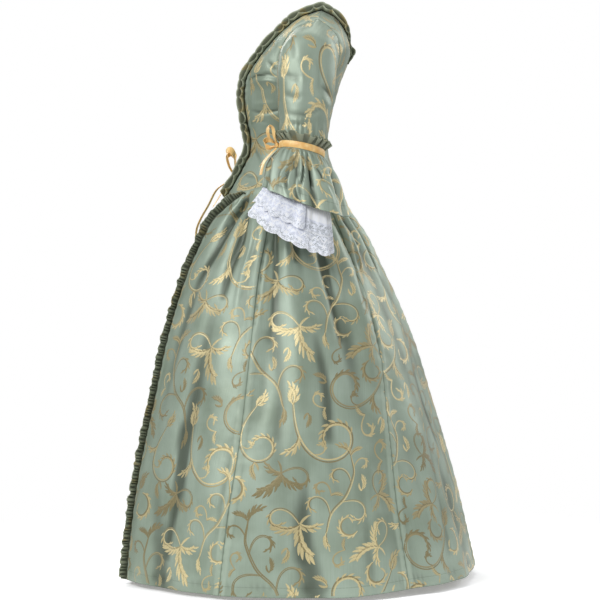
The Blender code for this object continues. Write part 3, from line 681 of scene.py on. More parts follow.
class Nodes:
    """Short helpers to build one material's nodes."""

    def __init__(self, name):
        self.material = bpy.data.materials.new(name)
        self.material.use_nodes = True
        self.tree = self.material.node_tree
        self.shader = self.tree.nodes["Principled BSDF"]
        coordinates = self.node("TexCoord").outputs
        self.flat, self.place = coordinates["UV"], coordinates["Object"]
        self.u, self.v, _ = self.node("SeparateXYZ", {}, self.flat).outputs

    def node(self, kind, settings=None, *values, **inputs):
        """A new node, with values for its first sockets and for named ones."""
        node = self.tree.nodes.new("ShaderNode" + kind)
        for key, value in (settings or {}).items():
            setattr(node, key, value)
        self.put(node, dict(enumerate(values)))
        self.put(node, inputs)
        return node

    def put(self, node, inputs):
        for key, value in inputs.items():
            socket = node.inputs[key if isinstance(key, int) else key.replace("_", " ")]
            if isinstance(value, bpy.types.NodeSocket):
                self.tree.links.new(value, socket)
            else:
                socket.default_value = value

    def math(self, operation, *values):
        return self.node("Math", {"operation": operation}, *values).outputs[0]

    def times(self, a, b):
        return self.math("MULTIPLY", a, b)

    def range(self, *values):
        """0 to 1, or the fourth value to the fifth, as the first goes from the second to the third."""
        return self.node("MapRange", {"interpolation_type": "SMOOTHSTEP"}, *values).outputs[0]

    def layered(self, shade, *layers):
        """A colour with others laid over it: the share of each and its screen colour."""
        for share, *tint in layers:
            shade = self.mix(share, shade, colour(*tint))
        return shade

    def mix(self, share, a, b):
        node = self.node("Mix", {"data_type": "RGBA"}, share)
        self.put(node, {6: a, 7: b})
        return node.outputs[2]

    def stretched(self, u_scale, v_scale):
        return self.node("Mapping", Vector=self.flat, Scale=(u_scale, v_scale, 1.0)).outputs[0]

    def noise(self, scale, detail=2.0, vector=None):
        vector = self.place if vector is None else vector
        return self.node("TexNoise", Vector=vector, Scale=scale, Detail=detail).outputs["Fac"]

    def attribute(self, name):
        return self.node("Attribute", {"attribute_name": name}).outputs["Fac"]

    def bump(self, height, strength, distance):
        return self.node("Bump", Strength=strength, Distance=distance, Height=height).outputs[0]

    def ridges(self, value, pitch):
        return self.math("SINE", self.times(value, 2 * math.pi / pitch))

    def threads(self, pitch):
        """Weft and warp ridges of a satin weave, 0 to 1."""
        down = self.math("MULTIPLY_ADD", self.ridges(self.v, 2.3 * pitch), 0.15, 0.5)
        return self.math("MULTIPLY_ADD", self.ridges(self.u, pitch), 0.35, down)

    def line(self, value, middle, half_width):
        """1 on a line where a value equals its middle, 0 away from it."""
        away = self.math("ABSOLUTE", self.math("SUBTRACT", value, middle))
        return self.range(away, half_width * 0.4, half_width, 1.0, 0.0)

    def finish(self, **inputs):
        self.put(self.shader, inputs)
        return self.material


STITCH_LENGTH = 0.0032
DENT_SCALE = 11.0
DENT_DEPTH = 0.011
NET_SCALE = 520.0


def brocade_material(name, patches):
    """Sage satin. Patches are the glimpses of woven gold on narrow gathered strips."""
    nodes = Nodes(name)
    cloudy = nodes.noise(14.0, 3.0)
    streaks = nodes.noise(1.0, vector=nodes.stretched(900.0, 12.0))
    shade = nodes.layered(
        colour(130, 144, 127),
        (nodes.range(nodes.noise(4.2), 0.36, 0.66), 152, 167, 151),
        (nodes.range(cloudy, 0.35, 0.72, 0.0, 0.45), 164, 180, 166),
        (nodes.range(streaks, 0.2, 0.9, 0.0, 0.25), 110, 123, 104),
    )
    if patches:
        glimpse = nodes.range(nodes.noise(34.0, 1.0), 0.56, 0.62, 0.0, 0.75)
        shade = nodes.layered(shade, (0.55, 186, 188, 158), (glimpse, 190, 174, 124))
    seam, hem = nodes.attribute("seam"), nodes.attribute("hem")
    dashes = nodes.range(nodes.ridges(nodes.u, STITCH_LENGTH), -0.6, 0.0)
    stitch = nodes.times(dashes, nodes.line(hem, HEM_STITCH, 0.0011))
    shade = nodes.layered(
        shade,
        (nodes.times(nodes.line(seam, 0.0085, 0.0095), 0.30), 176, 190, 172),
        (nodes.times(stitch, 0.55), 96, 108, 92),
        (nodes.range(seam, 0.0004, 0.0020, 0.6, 0.0), 84, 96, 78),
        (nodes.range(hem, 0.0004, 0.0020, 0.6, 0.0), 72, 84, 68),
        # Painted shade: hollows, the ruffles' heading and loops, and the shadow beside the bodice ruffle
        # darken the colour
        (nodes.attribute("painted_shade"), 44, 50, 34),
    )
    rough = nodes.range(cloudy, 0.2, 0.8, 0.40, 0.50)
    weave_height = nodes.math("SUBTRACT", nodes.times(nodes.threads(0.0008), 0.25), stitch)
    dents = nodes.noise(DENT_SCALE, 1.5)
    height = nodes.math("MULTIPLY_ADD", dents, DENT_DEPTH, nodes.times(weave_height, 0.0003))
    return nodes.finish(
        Base_Color=shade, Roughness=nodes.math("MAXIMUM", rough, nodes.range(seam, 0.005, 0.022, 0.66, 0.3)),
        Normal=nodes.bump(height, 0.6, 1.0), Metallic=0.22, Sheen_Weight=0.10, Sheen_Roughness=0.4,
        Specular_IOR_Level=0.5,
    )


def thread_material():
    nodes = Nodes("gold_thread")
    shine = nodes.layered(
        colour(124, 114, 80),
        # Tone mixes each motif's own tone with a painted sheen in slow bands across the cloth
        (nodes.attribute("tone"), 216, 200, 150),
        (nodes.range(nodes.noise(420.0), 0.35, 0.7, 0.0, 0.35), 146, 138, 100),
        # The edge value darkens the right side of each stroke: a dark outline that also stands for the shade
        # beside the raised thread, a painted shade
        (nodes.range(nodes.attribute("edge"), 0.3, 0.95, 0.0, 0.6), 98, 96, 68),
    )
    weave_bump = nodes.bump(nodes.threads(0.0009), 0.4, 0.0003)
    return nodes.finish(Base_Color=shine, Roughness=0.38, Metallic=0.25, Normal=weave_bump, Sheen_Weight=0.2)


def satin_material():
    nodes = Nodes("gold_satin_ribbon")
    cloudy = nodes.noise(60.0)
    fine = nodes.noise(1.0, vector=nodes.stretched(60.0, 500.0))
    wrinkle = nodes.math("MULTIPLY_ADD", nodes.threads(0.0006), 0.3, fine)
    return nodes.finish(
        Base_Color=nodes.layered(colour(234, 182, 108), (nodes.range(cloudy, 0.3, 0.7), 252, 218, 150)),
        Roughness=nodes.range(cloudy, 0.2, 0.8, 0.28, 0.4), Normal=nodes.bump(wrinkle, 0.35, 0.0008),
        Sheen_Weight=0.15,
    )


def lining_material():
    nodes = Nodes("cotton_lining")
    cloudy = nodes.range(nodes.noise(25.0, 3.0), 0.3, 0.7)
    return nodes.finish(
        Base_Color=nodes.layered(colour(166, 168, 150), (cloudy, 184, 185, 168)), Roughness=0.85,
        Normal=nodes.bump(nodes.threads(0.0011), 0.35, 0.0004),
    )


def lace_material():
    """White cloth that turns into net: 0 plain cloth, 0.5 lace over cloth, 1 lace whose holes are painted
    with the shade behind it.
    """
    nodes = Nodes("white_lace_cloth")
    net = nodes.node("TexVoronoi", {"feature": "DISTANCE_TO_EDGE"}, Vector=nodes.flat, Scale=NET_SCALE)
    kind = nodes.attribute("lace")
    open_parts = nodes.range(nodes.noise(130.0, 3.0, nodes.flat), 0.42, 0.50)
    holes = nodes.times(nodes.range(net.outputs[0], 0.05, 0.22), open_parts)
    holes = nodes.times(holes, nodes.range(kind, 0.05, 0.45))
    # Painted shade: the holes take the pale cloth below them, or the dark of the shade seen through the lace
    behind = nodes.layered(colour(200, 207, 228), (nodes.range(kind, 0.5, 1.0), 120, 132, 134))
    soft = nodes.range(nodes.noise(1.0, vector=nodes.stretched(260.0, 40.0)), 0.3, 0.7)
    worked = nodes.range(kind, 0.1, 0.4, 0.0, 0.9)
    tone = nodes.layered(colour(242, 245, 253), (soft, 252, 253, 255), (worked, 238, 242, 253))
    height = nodes.math("SUBTRACT", nodes.times(soft, 0.3), holes)
    return nodes.finish(
        Base_Color=nodes.mix(holes, tone, behind), Roughness=0.6, Normal=nodes.bump(height, 0.7, 0.0007),
        Sheen_Weight=0.3,
    )


def lace_thread_material():
    nodes = Nodes("white_lace_thread")
    # One side of each lace thread is darker, a painted shade beside the raised cord
    tone = nodes.layered(colour(252, 253, 255), (nodes.attribute("edge"), 212, 218, 236))
    cord = nodes.bump(nodes.threads(0.0007), 0.6, 0.0004)
    return nodes.finish(Base_Color=tone, Roughness=0.55, Normal=cord, Sheen_Weight=0.3)


cloth_finish = brocade_material("sage_brocade", False)
strip_finish = brocade_material("sage_brocade_strips", True)
thread_finish = thread_material()
gold_finish = satin_material()
lining_finish = lining_material()
lace_finish = lace_material()
lace_thread_finish = lace_thread_material()


# Woven pattern: one repeat, half a repeat lower in every second column

PATTERN_SCALE = 1.12
TILE = (0.360 * PATTERN_SCALE, 0.420 * PATTERN_SCALE)
FULLER = 1.3 * PATTERN_SCALE
STROKE_STEP = 0.0048
LEAF_STEP = 0.00432
LEAF_TIP = 0.12


def evenly(line, step, least=4):
    """Points at about equal steps along a fine line."""
    run = summed(norm(np.diff(line, axis=0)))[-1]
    return by_length(line, max(least, int(run / step) + 1))


def girth_along(line, widths):
    return np.interp(shares(len(line)), shares(len(widths)), widths)


def stem(points, widths, step=STROKE_STEP):
    """A line of changing width through given points."""
    line = evenly(curve(points, shares(60)), step)
    return line, girth_along(line, widths), 0.0


def shoot(base, heading, length, bend, widths, late=2.0, step=STROKE_STEP, least=4):
    """A stroke from a point that bends by an angle, the more of it near the end the later."""
    share = shares(90)[1:]
    turn = np.radians(heading + bend * share**late)
    moves = np.stack([np.cos(turn), np.sin(turn)], axis=-1) * length / len(share)
    line = evenly(base + np.pad(np.cumsum(moves, axis=0), ((1, 0), (0, 0))), step, least)
    return line, girth_along(line, widths), 0.0


def leaf(base, heading, size, width, bend, step=LEAF_STEP, least=5):
    """A curved pointed leaf, as one stroke that swells and tapers."""
    line, _, tint = shoot(base, heading, size, bend, (1, 1), 1.0, step, least)
    swell = np.sin(math.pi * between(0.12, 1, shares(len(line)))) ** 0.7
    return line, width * np.maximum(swell, LEAF_TIP), tint


def sideways(line):
    """The way to the left of a flat line."""
    along = unit(np.gradient(line, axis=0))
    return np.stack([-along[:, 1], along[:, 0]], axis=-1)


def doubled(stroke, apart):
    """A stroke as a pale line and a darker one beside it, which meet at the ends."""
    line, girth, _ = stroke
    swell = np.sin(math.pi * np.linspace(0.08, 0.98, len(line))) ** 0.6
    away = sideways(line) * (apart * swell)[:, None]
    return [(line + away, girth * 0.62, 0.15), (line - away, girth * 0.55, -0.65)]


def heading_at(line, k):
    points = line[0]
    k = min(max(k, 0), len(points) - 2)
    step = points[k + 1] - points[k]
    return math.degrees(math.atan2(step[1], step[0]))


def comb(line, first, last, count, side, size, width, bend, lean=38):
    """Feathery fingers along one side of a line, longest in the middle of the run."""
    found = []
    for k in range(count):
        share = k / max(count - 1, 1)
        at = int(round((first + (last - first) * share) * (len(line[0]) - 2)))
        reach = size * (0.6 + 0.4 * math.sin(math.pi * (0.15 + 0.7 * share)))
        found.append(leaf(line[0][at], heading_at(line, at) + side * lean, reach, width, -side * bend))
    return found


def feathered(base, heading, size, bend):
    """A broad acanthus leaf: a double rib with curled lobes outside and small ones inside."""
    side = math.copysign(1, bend)
    rib = shoot(base, heading, size, bend, (0.003, size * 0.13, size * 0.15, size * 0.10, 0.002), 1.3)
    found = doubled(rib, size * 0.035)
    found += comb(rib, 0.10, 0.95, 6, -side, size * 0.42, size * 0.105, 24, 40)
    return found + comb(rib, 0.30, 0.85, 4, side, size * 0.26, size * 0.085, 20, 36)


def hook(base, heading, length, bend, girth):
    """A shoot that coils up and swells into a crested tip."""
    side = math.copysign(1, bend)
    widths = [girth * share for share in (0.6, 1, 1, 1.1, 1.9, 0.9)]
    line = shoot(base, heading, length, bend, widths)
    found = [line] if length < 0.1 else doubled(line, girth * 0.42)
    return found + comb(line, 0.66, 0.99, 5, -side, 0.048 * length**0.5, girth * 1.05, 30, 44)


def off(stroke, share, turn):
    """A place on a stroke and a heading that leaves it by an angle."""
    k = int(share * len(stroke[0]))
    return stroke[0][min(k, len(stroke[0]) - 1)], heading_at(stroke, k) + turn


def scroll_motif():
    """A large scroll with a crested end, leaves at its root and on its back."""
    line = shoot((0.030, -0.085), 125, 0.36, 385, (0.0030, 0.0052, 0.0060, 0.0060, 0.0066, 0.0100, 0.0040))
    found = doubled(line, 0.0026) + comb(line, 0.72, 0.99, 8, -1, 0.0200, 0.0060, 34, 44)
    found += comb(line, 0.84, 0.98, 4, 1, 0.0115, 0.0048, 30, 40)
    for share, turn, size, bend in ((1 / 5, -24, 0.052, -95), (0, 150, 0.050, 90), (0, 205, 0.040, -80)):
        found += feathered(*off(line, share, turn), size, bend)
    return found + hook(*off(line, 1 / 3, 24), 0.060, 250, 0.0034)


def branch_motif():
    """A bending stem whose side shoots coil up, with a leafy crown."""
    points = np.array(((0, -0.120), (0.012, -0.070), (0.000, -0.015), (0.008, 0.040), (0.040, 0.080)))
    line = stem(points, (0.0036, 0.0056, 0.0060, 0.0054, 0.0040))
    found = doubled(line, 0.0022)
    for share, side, length in ((0.22, -1, 0.120), (0.42, 1, 0.135), (0.66, -1, 0.105), (0.84, 1, 0.075)):
        found += hook(*off(line, share, side * 34), length, side * 265, 0.0038)
    for share, turn, size, bend in ((1, -8, 0.048, -80), (1, 42, 0.036, 75), (0, 178, 0.042, -60)):
        found += feathered(*off(line, share, turn), size, bend)
    return found


def acanthus_motif():
    """A spray of broad feathered leaves with one coiled shoot."""
    found = feathered((0, 0), 70, 0.078, 70)
    found += feathered((0, 0), 20, 0.060, -75)
    found += feathered((0.002, -0.004), 130, 0.048, 85)
    found += hook((0, 0), -72, 0.130, 300, 0.0042)
    return found + [leaf((0, 0), 235, 0.034, 0.0056, -50)]


def crescent_motif():
    """A leafy crescent, feathered outside, with a small bud at its end."""
    line = shoot((0.010, -0.042), 165, 0.105, -235, (0.0028, 0.0070, 0.0088, 0.0072, 0.0030), 1.1)
    found = doubled(line, 0.0020) + comb(line, 0.08, 0.94, 8, 1, 0.0180, 0.0056, 22)
    return found + [leaf(*off(line, 1, -30), 0.020, 0.0056, -60)]


def comma_motif():
    """A hooked curl with a small feathered leaf at its foot."""
    return hook((0, 0), 90, 0.094, 310, 0.0042) + feathered((0, 0), 20, 0.030, -75)


def sprig_motif():
    """A small feathered leaf with a curled one beside it."""
    return feathered((0, 0), 80, 0.036, 80) + [leaf((0, 0), 165, 0.022, 0.0058, -60)]


# Each motif's places: middle across and down in mm, turn in degrees, scale, mirrored, tone
LAYOUT = (
    (scroll_motif, (
        (317, 360, 210, 0.95, 0, 0.95), (90, 63, 172, 0.86, 1, 0.35),
        (196, 355, 252, 0.72, 0, 0.65),
    )),
    (branch_motif, (
        (218, 224, 328, 0.95, 0, 0.15), (27, 288, 30, 0.8, 1, 0.75),
    )),
    (acanthus_motif, (
        (296, 156, 168, 0.95, 0, 0.85), (253, 46, 223, 0.85, 1, 0.25), (87, 393, 257, 0.8, 0, 0.6),
        (127, 295, 125, 0.72, 1, 0.1),
    )),
    (crescent_motif, (
        (161, 62, 166, 0.95, 0, 0.9), (101, 30, 166, 0.85, 1, 0.45), (38, 349, 293, 0.75, 0, 0.7),
    )),
    (comma_motif, (
        (79, 138, 211, 0.95, 0, 0.8), (116, 211, 303, 0.9, 1, 0.3), (358, 63, 352, 0.8, 0, 0.55),
        (340, 306, 277, 0.8, 1, 0.95), (20, 402, 259, 0.75, 0, 0.2), (161, 214, 319, 0.7, 1, 0.65),
    )),
    (sprig_motif, (
        (204, 23, 196, 0.95, 0, 0.5), (124, 147, 163, 0.9, 1, 0.85), (340, 247, 324, 0.9, 0, 0.3),
        (269, 196, 177, 0.85, 1, 0.7), (73, 263, 23, 0.85, 0, 0.95), (314, 337, 162, 0.8, 1, 0.4),
        (238, 215, 26, 0.8, 0, 0.15),
    )),
)


def centred(strokes):
    points = np.concatenate([line for line, _, _ in strokes])
    middle = (points.min(axis=0) + points.max(axis=0)) / 2
    return [(line - middle, girth, tint) for line, girth, tint in strokes]


def laid_out():
    """All strokes of a repeat: each motif of the layout in its places."""
    for motif, places in LAYOUT:
        strokes = centred(motif())
        for x, y, turn, scale, flipped, tone in places:
            cos, sin = math.cos(math.radians(turn)), math.sin(math.radians(turn))
            spin = np.array(((cos, -sin), (sin, cos))) * scale @ np.diag((1 - 2 * flipped, 1))
            for line, girth, tint in strokes:
                placed = line * (1, -1) @ spin.T + (x / 1000, y / 1000)
                yield placed * PATTERN_SCALE, girth * scale * FULLER, tone + tint


def prepared(strokes):
    """Strokes as arrays: middle, left and right points, tone, and the first point of each segment."""
    parts = []
    count = 0
    for line, girth, tone in strokes:
        side = sideways(line) * girth[:, None] / 2
        segments = np.arange(count, count + len(line) - 1)
        parts.append((line, line + side, line - side, np.full(len(line), tone), segments))
        count += len(line)
    return tuple(np.concatenate(x) for x in zip(*parts))


REPEAT = prepared(laid_out())


def on_cloth(grid, normals, u, v, points, lift):
    """Where cloth coordinates are on the grid's triangles, and how far outside its edges they lie."""
    rows, columns = u.shape
    r = np.interp(points[:, 1], v, np.arange(rows))
    r0 = np.clip(r.astype(int), 0, rows - 2)
    f = r - r0
    lines = u[r0] * (1 - f)[:, None] + u[r0 + 1] * f[:, None]
    x = points[:, 0]
    past = np.maximum(lines[:, 0] - x, x - lines[:, -1])
    past = np.maximum(past, np.maximum(v[0] - points[:, 1], points[:, 1] - v[-1]))
    c0 = np.clip((lines <= x[:, None]).sum(axis=1) - 1, 0, columns - 2)
    span = np.take_along_axis(lines, c0[:, None] + 1, 1)[:, 0]
    start = np.take_along_axis(lines, c0[:, None], 1)[:, 0]
    g = np.clip((x - start) / np.maximum(span - start, 1e-9), 0, 1)
    f, g = f[:, None], g[:, None]

    def blend(field):
        a, b = field[r0, c0], field[r0, c0 + 1]
        d, c = field[r0 + 1, c0], field[r0 + 1, c0 + 1]
        return np.where(g >= f, a + g * (b - a) + f * (c - b), a + f * (d - a) + g * (c - d))

    return blend(grid) + unit(blend(normals)) * lift, past


STROKE_LIFT = (0.00034, -0.00012, -0.00012)
STROKE_MARGIN = 0.0012


def weave(
    name, grid, out, loop=False, shift=(0.0, 0.0), light=0.0, repeat=REPEAT, tile=TILE, drop=0.5,
    plane=None, finish=None, kept=None,
):
    """Raised strokes on one piece of cloth, cut off at the piece's edges.

    Plane gives other cloth coordinates. Kept says where strokes may lie, for each point of the grid.
    """
    normals = closed_grid(grid_normals(grid, out, loop), loop)
    handed = handedness(grid, out)
    u, v = plane or cloth_plane(grid, loop)
    grid = closed_grid(grid, loop)
    middle, left, right, tones, segments = repeat
    low = np.array([u.min(), v[0]]) - 0.05
    high = np.array([u.max(), v[-1]]) + 0.05
    first = np.floor((low - shift) / tile).astype(int) - 1
    last = np.ceil((high - shift) / tile).astype(int) + 1
    points, faces, tone, edge, uv = [], [], [], [], []
    n, count = len(middle), 0
    for i in range(first[0], last[0]):
        for j in range(first[1], last[1]):
            flat = np.stack([middle, left, right])
            flat = flat + (shift[0] + i * tile[0], shift[1] + (j + drop * (i % 2)) * tile[1])
            if (flat.min(axis=(0, 1)) > high).any() or (flat.max(axis=(0, 1)) < low).any():
                continue
            placed = []
            for part, lift in zip(flat, STROKE_LIFT):
                place, past = on_cloth(grid, normals, u, v, part, lift)
                if not placed:
                    inside = past < -STROKE_MARGIN
                placed.append(place)
            if kept is not None:
                field = closed_grid(kept[..., None], loop)
                inside &= on_cloth(field, field, u, v, flat[0], 0.0)[0][:, 0] > 0.5
            a = segments[inside[segments] & inside[segments + 1]]
            b = a + 1
            for s, t in ((1, 0), (0, 2)):
                faces.append(np.stack([s * n + a, t * n + a, t * n + b], axis=-1) + count)
                faces.append(np.stack([s * n + a, t * n + b, s * n + b], axis=-1) + count)
            points += placed
            # Painted sheen: tones rise and fall in slow waves across the cloth, shifted and raised by the
            # piece's light value, as satin threads catch light
            varied = tones + 0.35 * np.sin(11 * flat[0][:, 0] + 7 * flat[0][:, 1] + light) + light * 0.1
            tone.append(np.tile(np.clip(varied, 0, 1), 3))
            # Edge marks the right side of each stroke, which the thread materials darken as painted shade
            edge.append(np.repeat((0.0, 0.0, 1.0), n))
            uv.append(flat.reshape(-1, 2))
            count += 3 * n
    used, faces = np.unique(np.concatenate(faces), return_inverse=True)
    faces = faces.reshape(-1, 3)
    points, uv = np.concatenate(points)[used], np.concatenate(uv)[used]
    corners = uv[faces]
    turned = np.cross(corners[:, 1] - corners[:, 0], corners[:, 2] - corners[:, 0]) * handed < 0
    faces[turned] = faces[turned][:, ::-1]
    values = {"tone": np.concatenate(tone)[used], "edge": np.concatenate(edge)[used]}
    pattern = add_mesh(name, points, faces, uv[faces], [finish or thread_finish], None, values, 80)
    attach(pattern, "root")
    return pattern


# Pieces


def on_gown(piece, node, slot):
    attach(piece, "root")
    if node:
        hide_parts(node)


def declare(grid, loop, held):
    """Measures the sheet's flat size and area along the cloth, and keeps none of them."""
    u, v = cloth_plane(grid, loop)
    width, length = (u[:, -1] - u[:, 0]).max(), v[-1]
    grid = closed_grid(grid, loop)
    across, down = grid[:-1, 1:] - grid[:-1, :-1], grid[1:, :-1] - grid[:-1, :-1]
    area = min(norm(np.cross(across, down)).sum(), width * length)


def cloth_values(seam=1.0, hem=1.0, painted_shade=0.0):
    """What the brocade needs to know: distance to a seam and to a hem, and the shade painted on it."""
    return {"seam": seam, "hem": hem, "painted_shade": painted_shade}


# Shade painted into the cloth's hollows: cells round a point for its mean depth, depth below that mean for
# full shade, and its strength
HOLLOW_REACH = 5
HOLLOW_DEPTH = 0.0032
PAINTED_HOLLOW_SHADE = 0.75


def brocade_piece(node, made, held, rests_on, shift, light, flip=np.asarray, loop=False):
    """A piece of brocade with its woven pattern, from its grid, outward directions, depth and values."""
    grid, out, depth, values = made
    grid, out = flip(grid), flip(out)
    # Painted shade: cloth lying deeper than the cloth round it is darkened, as shade falls in hollows
    hollow_painted_shade = ease((depth - gathered_near(depth, HOLLOW_REACH, loop, np.mean)) / HOLLOW_DEPTH)
    values = dict(values, painted_shade=np.maximum(values["painted_shade"], PAINTED_HOLLOW_SHADE * hollow_painted_shade))
    finishes = [cloth_finish, lining_finish]
    piece = shell(node + "_cloth", grid, out, BROCADE, finishes, loop, values=values, depth=depth)
    on_gown(piece, node, "brocade")
    pattern = weave(node + "_scrolls", grid, out, loop, shift, light)
    declare(grid, loop, held)


def strip(node, grid, out, finish, held, rests_on, flip=np.asarray, loop=False, painted_shade=0.0):
    """A narrow piece of one cloth all through. Its last argument is the shade painted on it."""
    grid, out = flip(grid), flip(np.broadcast_to(out, grid.shape))
    end, slot = ("_satin", "gold_satin") if finish == gold_finish else ("_cloth", "brocade")
    piece = shell(node + end, grid, out, TRIM, [finish, finish], loop, 1, cloth_values(painted_shade=painted_shade))
    on_gown(piece, node, slot)
    declare(grid, loop, held)


# Skirt
SKIRT_CELL = 0.0058
SKIRT_LENGTH = 0.96
HEM_Z = -1.38
HEM_RADIUS = 0.45
EDGE_CROWD = 0.7
GATHERS = 96
GATHER_DEPTH = 0.0013
GATHER_REACH = 0.055
SWELL = 0.0020


def crowded(columns):
    """Shares across a piece whose columns lie closer near its side edges."""
    across = np.linspace(0, 1, columns)
    return across - EDGE_CROWD / (2 * math.pi) * np.sin(2 * math.pi * across)


def even_cells(length):
    return 2 * math.ceil(length / SKIRT_CELL / 2)


def skirt_grid(left_edge, right_edge):
    """A gore: its grid, its outward directions, how far its creases sink in, and its edges."""
    arc = math.radians(float(right_edge(HEM_Z) - left_edge(HEM_Z))) * HEM_RADIUS
    across = crowded(even_cells(arc) + 1)
    top, bottom = (end_heights(left_edge, right_edge, across, end) for end in (waist_z, hem_z))
    z = between(top, bottom, shares(even_cells(SKIRT_LENGTH) + 1)[:, None] ** 1.06)
    angle = between(left_edge(z), right_edge(z), across)
    grid = body(angle, z)
    out = body_outward(grid)
    drop = waist_z(angle) - z
    seam, hem = edge_distance(grid), z - hem_z(angle)
    around = np.radians(np.abs(angle))
    one_side = np.concatenate([np.abs(grid[..., :1]), grid[..., 1:]], axis=-1)
    fine = crease_depth(one_side, SKIRT_CREASES, body)
    fine += GATHER_DEPTH * np.sin(GATHERS * around + 2 * np.sin(11 * around)) * np.exp(-drop / GATHER_REACH)
    swell = np.sin(21 * around + 2.4 * np.sin(5 * z)) + np.sin(13 * around - 9 * z)
    fine += SWELL * swell * ease((drop - 0.1) / 0.2)
    fine += seam_depth(seam, z) + hem_depth(hem, around * HEM_RADIUS)
    depth = fold_depth(angle, drop) + fine * ease(drop / 0.03)
    grid = grid - out * depth[..., None]
    grid[0, :, 2] -= WAIST_GAP
    return let_out(grid), out, depth, cloth_values(seam, hem)


def make_skirt():
    """The gores. It gives the grid of the left one beside the front, for its ruffle."""
    front = skirt_grid(other(skirt_front_edge), skirt_front_edge)
    brocade_piece("skirt_front", front, "hung", "bodice_centre", (0.05, 0.03), 0.2)
    grids = []
    for name, left_edge, right_edge, held, rests_on, shift in (
        ("front_side_", skirt_front_edge, side_front, "hung", "bodice_front_", (0.11, 0.05)),
        ("side_", side_front, side_back, "gathered", "bodice_front_", (0.02, 0.0)),
        ("back_", side_back, back_centre, "gathered", "bodice_back_", (0.20, 0.16)),
    ):
        gore = skirt_grid(left_edge, right_edge)
        grids.append(gore[0])
        for word, flip, k in SIDES:
            brocade_piece("skirt_" + name + word, gore, held, rests_on + word, shift, 0.6 * k, flip)
    return grids[0]


# Bodice
BODICE_CELLS = 56
PANEL_CELLS = 52
NAPE = round(BODICE_CELLS * 11 / 9 + 1)
RUFFLE_SHADOW_WIDTH = 0.0030


def lower_part(left_edge, right_edge, across):
    """The rows of a panel from the waist seam up to the armpit."""
    bottom = end_heights(left_edge, right_edge, across, waist_z)
    z = between(bottom, ARMPIT_Z, shares(BODICE_CELLS + 1)[:, None])
    return body(between(left_edge(z), right_edge(z), across), z)


def with_upper_part(lower, inner, outer, across):
    """A panel's rows up to the armpit, and those above it between two edges."""
    row = lower[-1]
    height, share = shares(BODICE_CELLS + 1), across[:, None]
    start = curve(np.concatenate([row[:1], inner]), height)[:, None]
    end = curve(np.concatenate([row[-1:], outer]), height)[:, None]
    bulge = row - between(row[0], row[-1], share)
    upper = between(start, end, share) + (1 - ease(height))[:, None, None] * bulge
    return np.concatenate([lower, upper[1:]])


def bodice_piece(node, points, held_by, shift, light, shadow_from, flip=np.asarray):
    """One bodice panel, whose rows run up. The shadow painted beside the ruffle starts at a row."""
    out = body_outward(points)
    u, run = cloth_plane(points)
    run = run[:, None]
    seam = edge_distance(points)
    across_face = np.stack([np.abs(points[..., 0]), points[..., 2]], axis=-1)
    depth = side_depth(points, out, BODICE_CREASES) + 0.7 * seam_depth(seam, run)
    depth += crease_depth(across_face, FACE_CREASES) * ease(2 * np.abs(out[..., 1]) - 1)
    depth *= ease(np.minimum(run, run[-1] - run) / 0.008)
    # Painted shadow: a dark band along the front edge, where the ruffle's shade falls on the cloth
    ruffle_shadow = ease((RUFFLE_SHADOW_WIDTH - u + u[:, :1]) / 0.0012) * (np.arange(len(points))[:, None] >= shadow_from)
    grid = let_out(points - out * depth[..., None])
    values = cloth_values(seam[::-1], painted_shade=0.92 * ruffle_shadow[::-1])
    made = grid[::-1], out[::-1], depth[::-1], values
    brocade_piece(node, made, "stretched", held_by, shift, light, flip)


def make_bodice():
    """The panels. It gives the left front and the left back, for the ruffle."""
    across = crowded(PANEL_CELLS + 1)
    front = with_upper_part(lower_part(front_edge, side_seam, across), NECK_FRONT, ARMHOLE_FRONT, across)
    back = lower_part(side_seam, back_centre, across)[:, ::-1]
    back = with_upper_part(back, NECK_BACK, ARMHOLE_BACK, across)
    for word, flip, k in SIDES:
        light = 0.3 + 0.5 * k
        bodice_piece("bodice_front_" + word, front, "bodice_back_" + word, (0.06, 0.11), light, 0, flip)
        bodice_piece("bodice_back_" + word, back, "bodice_front_" + word, (0.14, 0.02), light, NAPE, flip)
    across_centre = 2 * across - 1
    upper = np.repeat(front[BODICE_CELLS + 1 : NAPE, :1], PANEL_CELLS + 1, axis=1)
    upper[..., 0] *= across_centre
    upper[..., 1] -= CENTRE_BOW * (1 - across_centre**2)
    centre = np.concatenate([lower_part(other(front_edge), front_edge, across), upper])
    centre = centre[len(centre) % 2 == 0 :]
    bodice_piece("bodice_centre", centre, "bodice_front_left", (0.03, 0.07), 0.5, len(centre))
    return front, back


# Sleeves and flounces
SLEEVE_ROWS = 61
SLEEVE_COLUMNS = 128
SLEEVE_MIDDLE = -0.045
SLEEVE_GATHERS = 22
FLOUNCE_ROWS = 47
FLOUNCE_COLUMNS = 192
FLOUNCE_GATHERS = 26
RIBBON_HEIGHT = 0.016


def sleeve_grid():
    """The smooth sleeve, its outward directions, and how far its creases sink in."""
    turn = turns(SLEEVE_COLUMNS)
    edge = armhole(turn)
    first = edge + (SEAM + SEAT) * (body_outward(edge) + unit(edge.mean(axis=0) - edge))
    grid = curve([first] + [sleeve_ring(row, turn) for row in SLEEVE], shares(SLEEVE_ROWS))
    out = normals_of(grid, True)
    hem = end_distance(grid)
    run = hem[0] - hem
    around = np.radians(turn)
    depth = side_depth(grid, out, SLEEVE_CREASES, SLEEVE_MIDDLE)
    gathers = np.sin(SLEEVE_GATHERS * around + 2 * np.sin(3 * around))
    depth += 0.0011 * gathers * bell((hem - 0.03) / 0.022)
    depth += 0.0007 * np.sin(37 * around + 3 * np.sin(2 * around)) * np.exp(-run / 0.014)
    depth *= ease(run / 0.006) * ease((hem - 0.016) / 0.010)
    return grid, out, depth


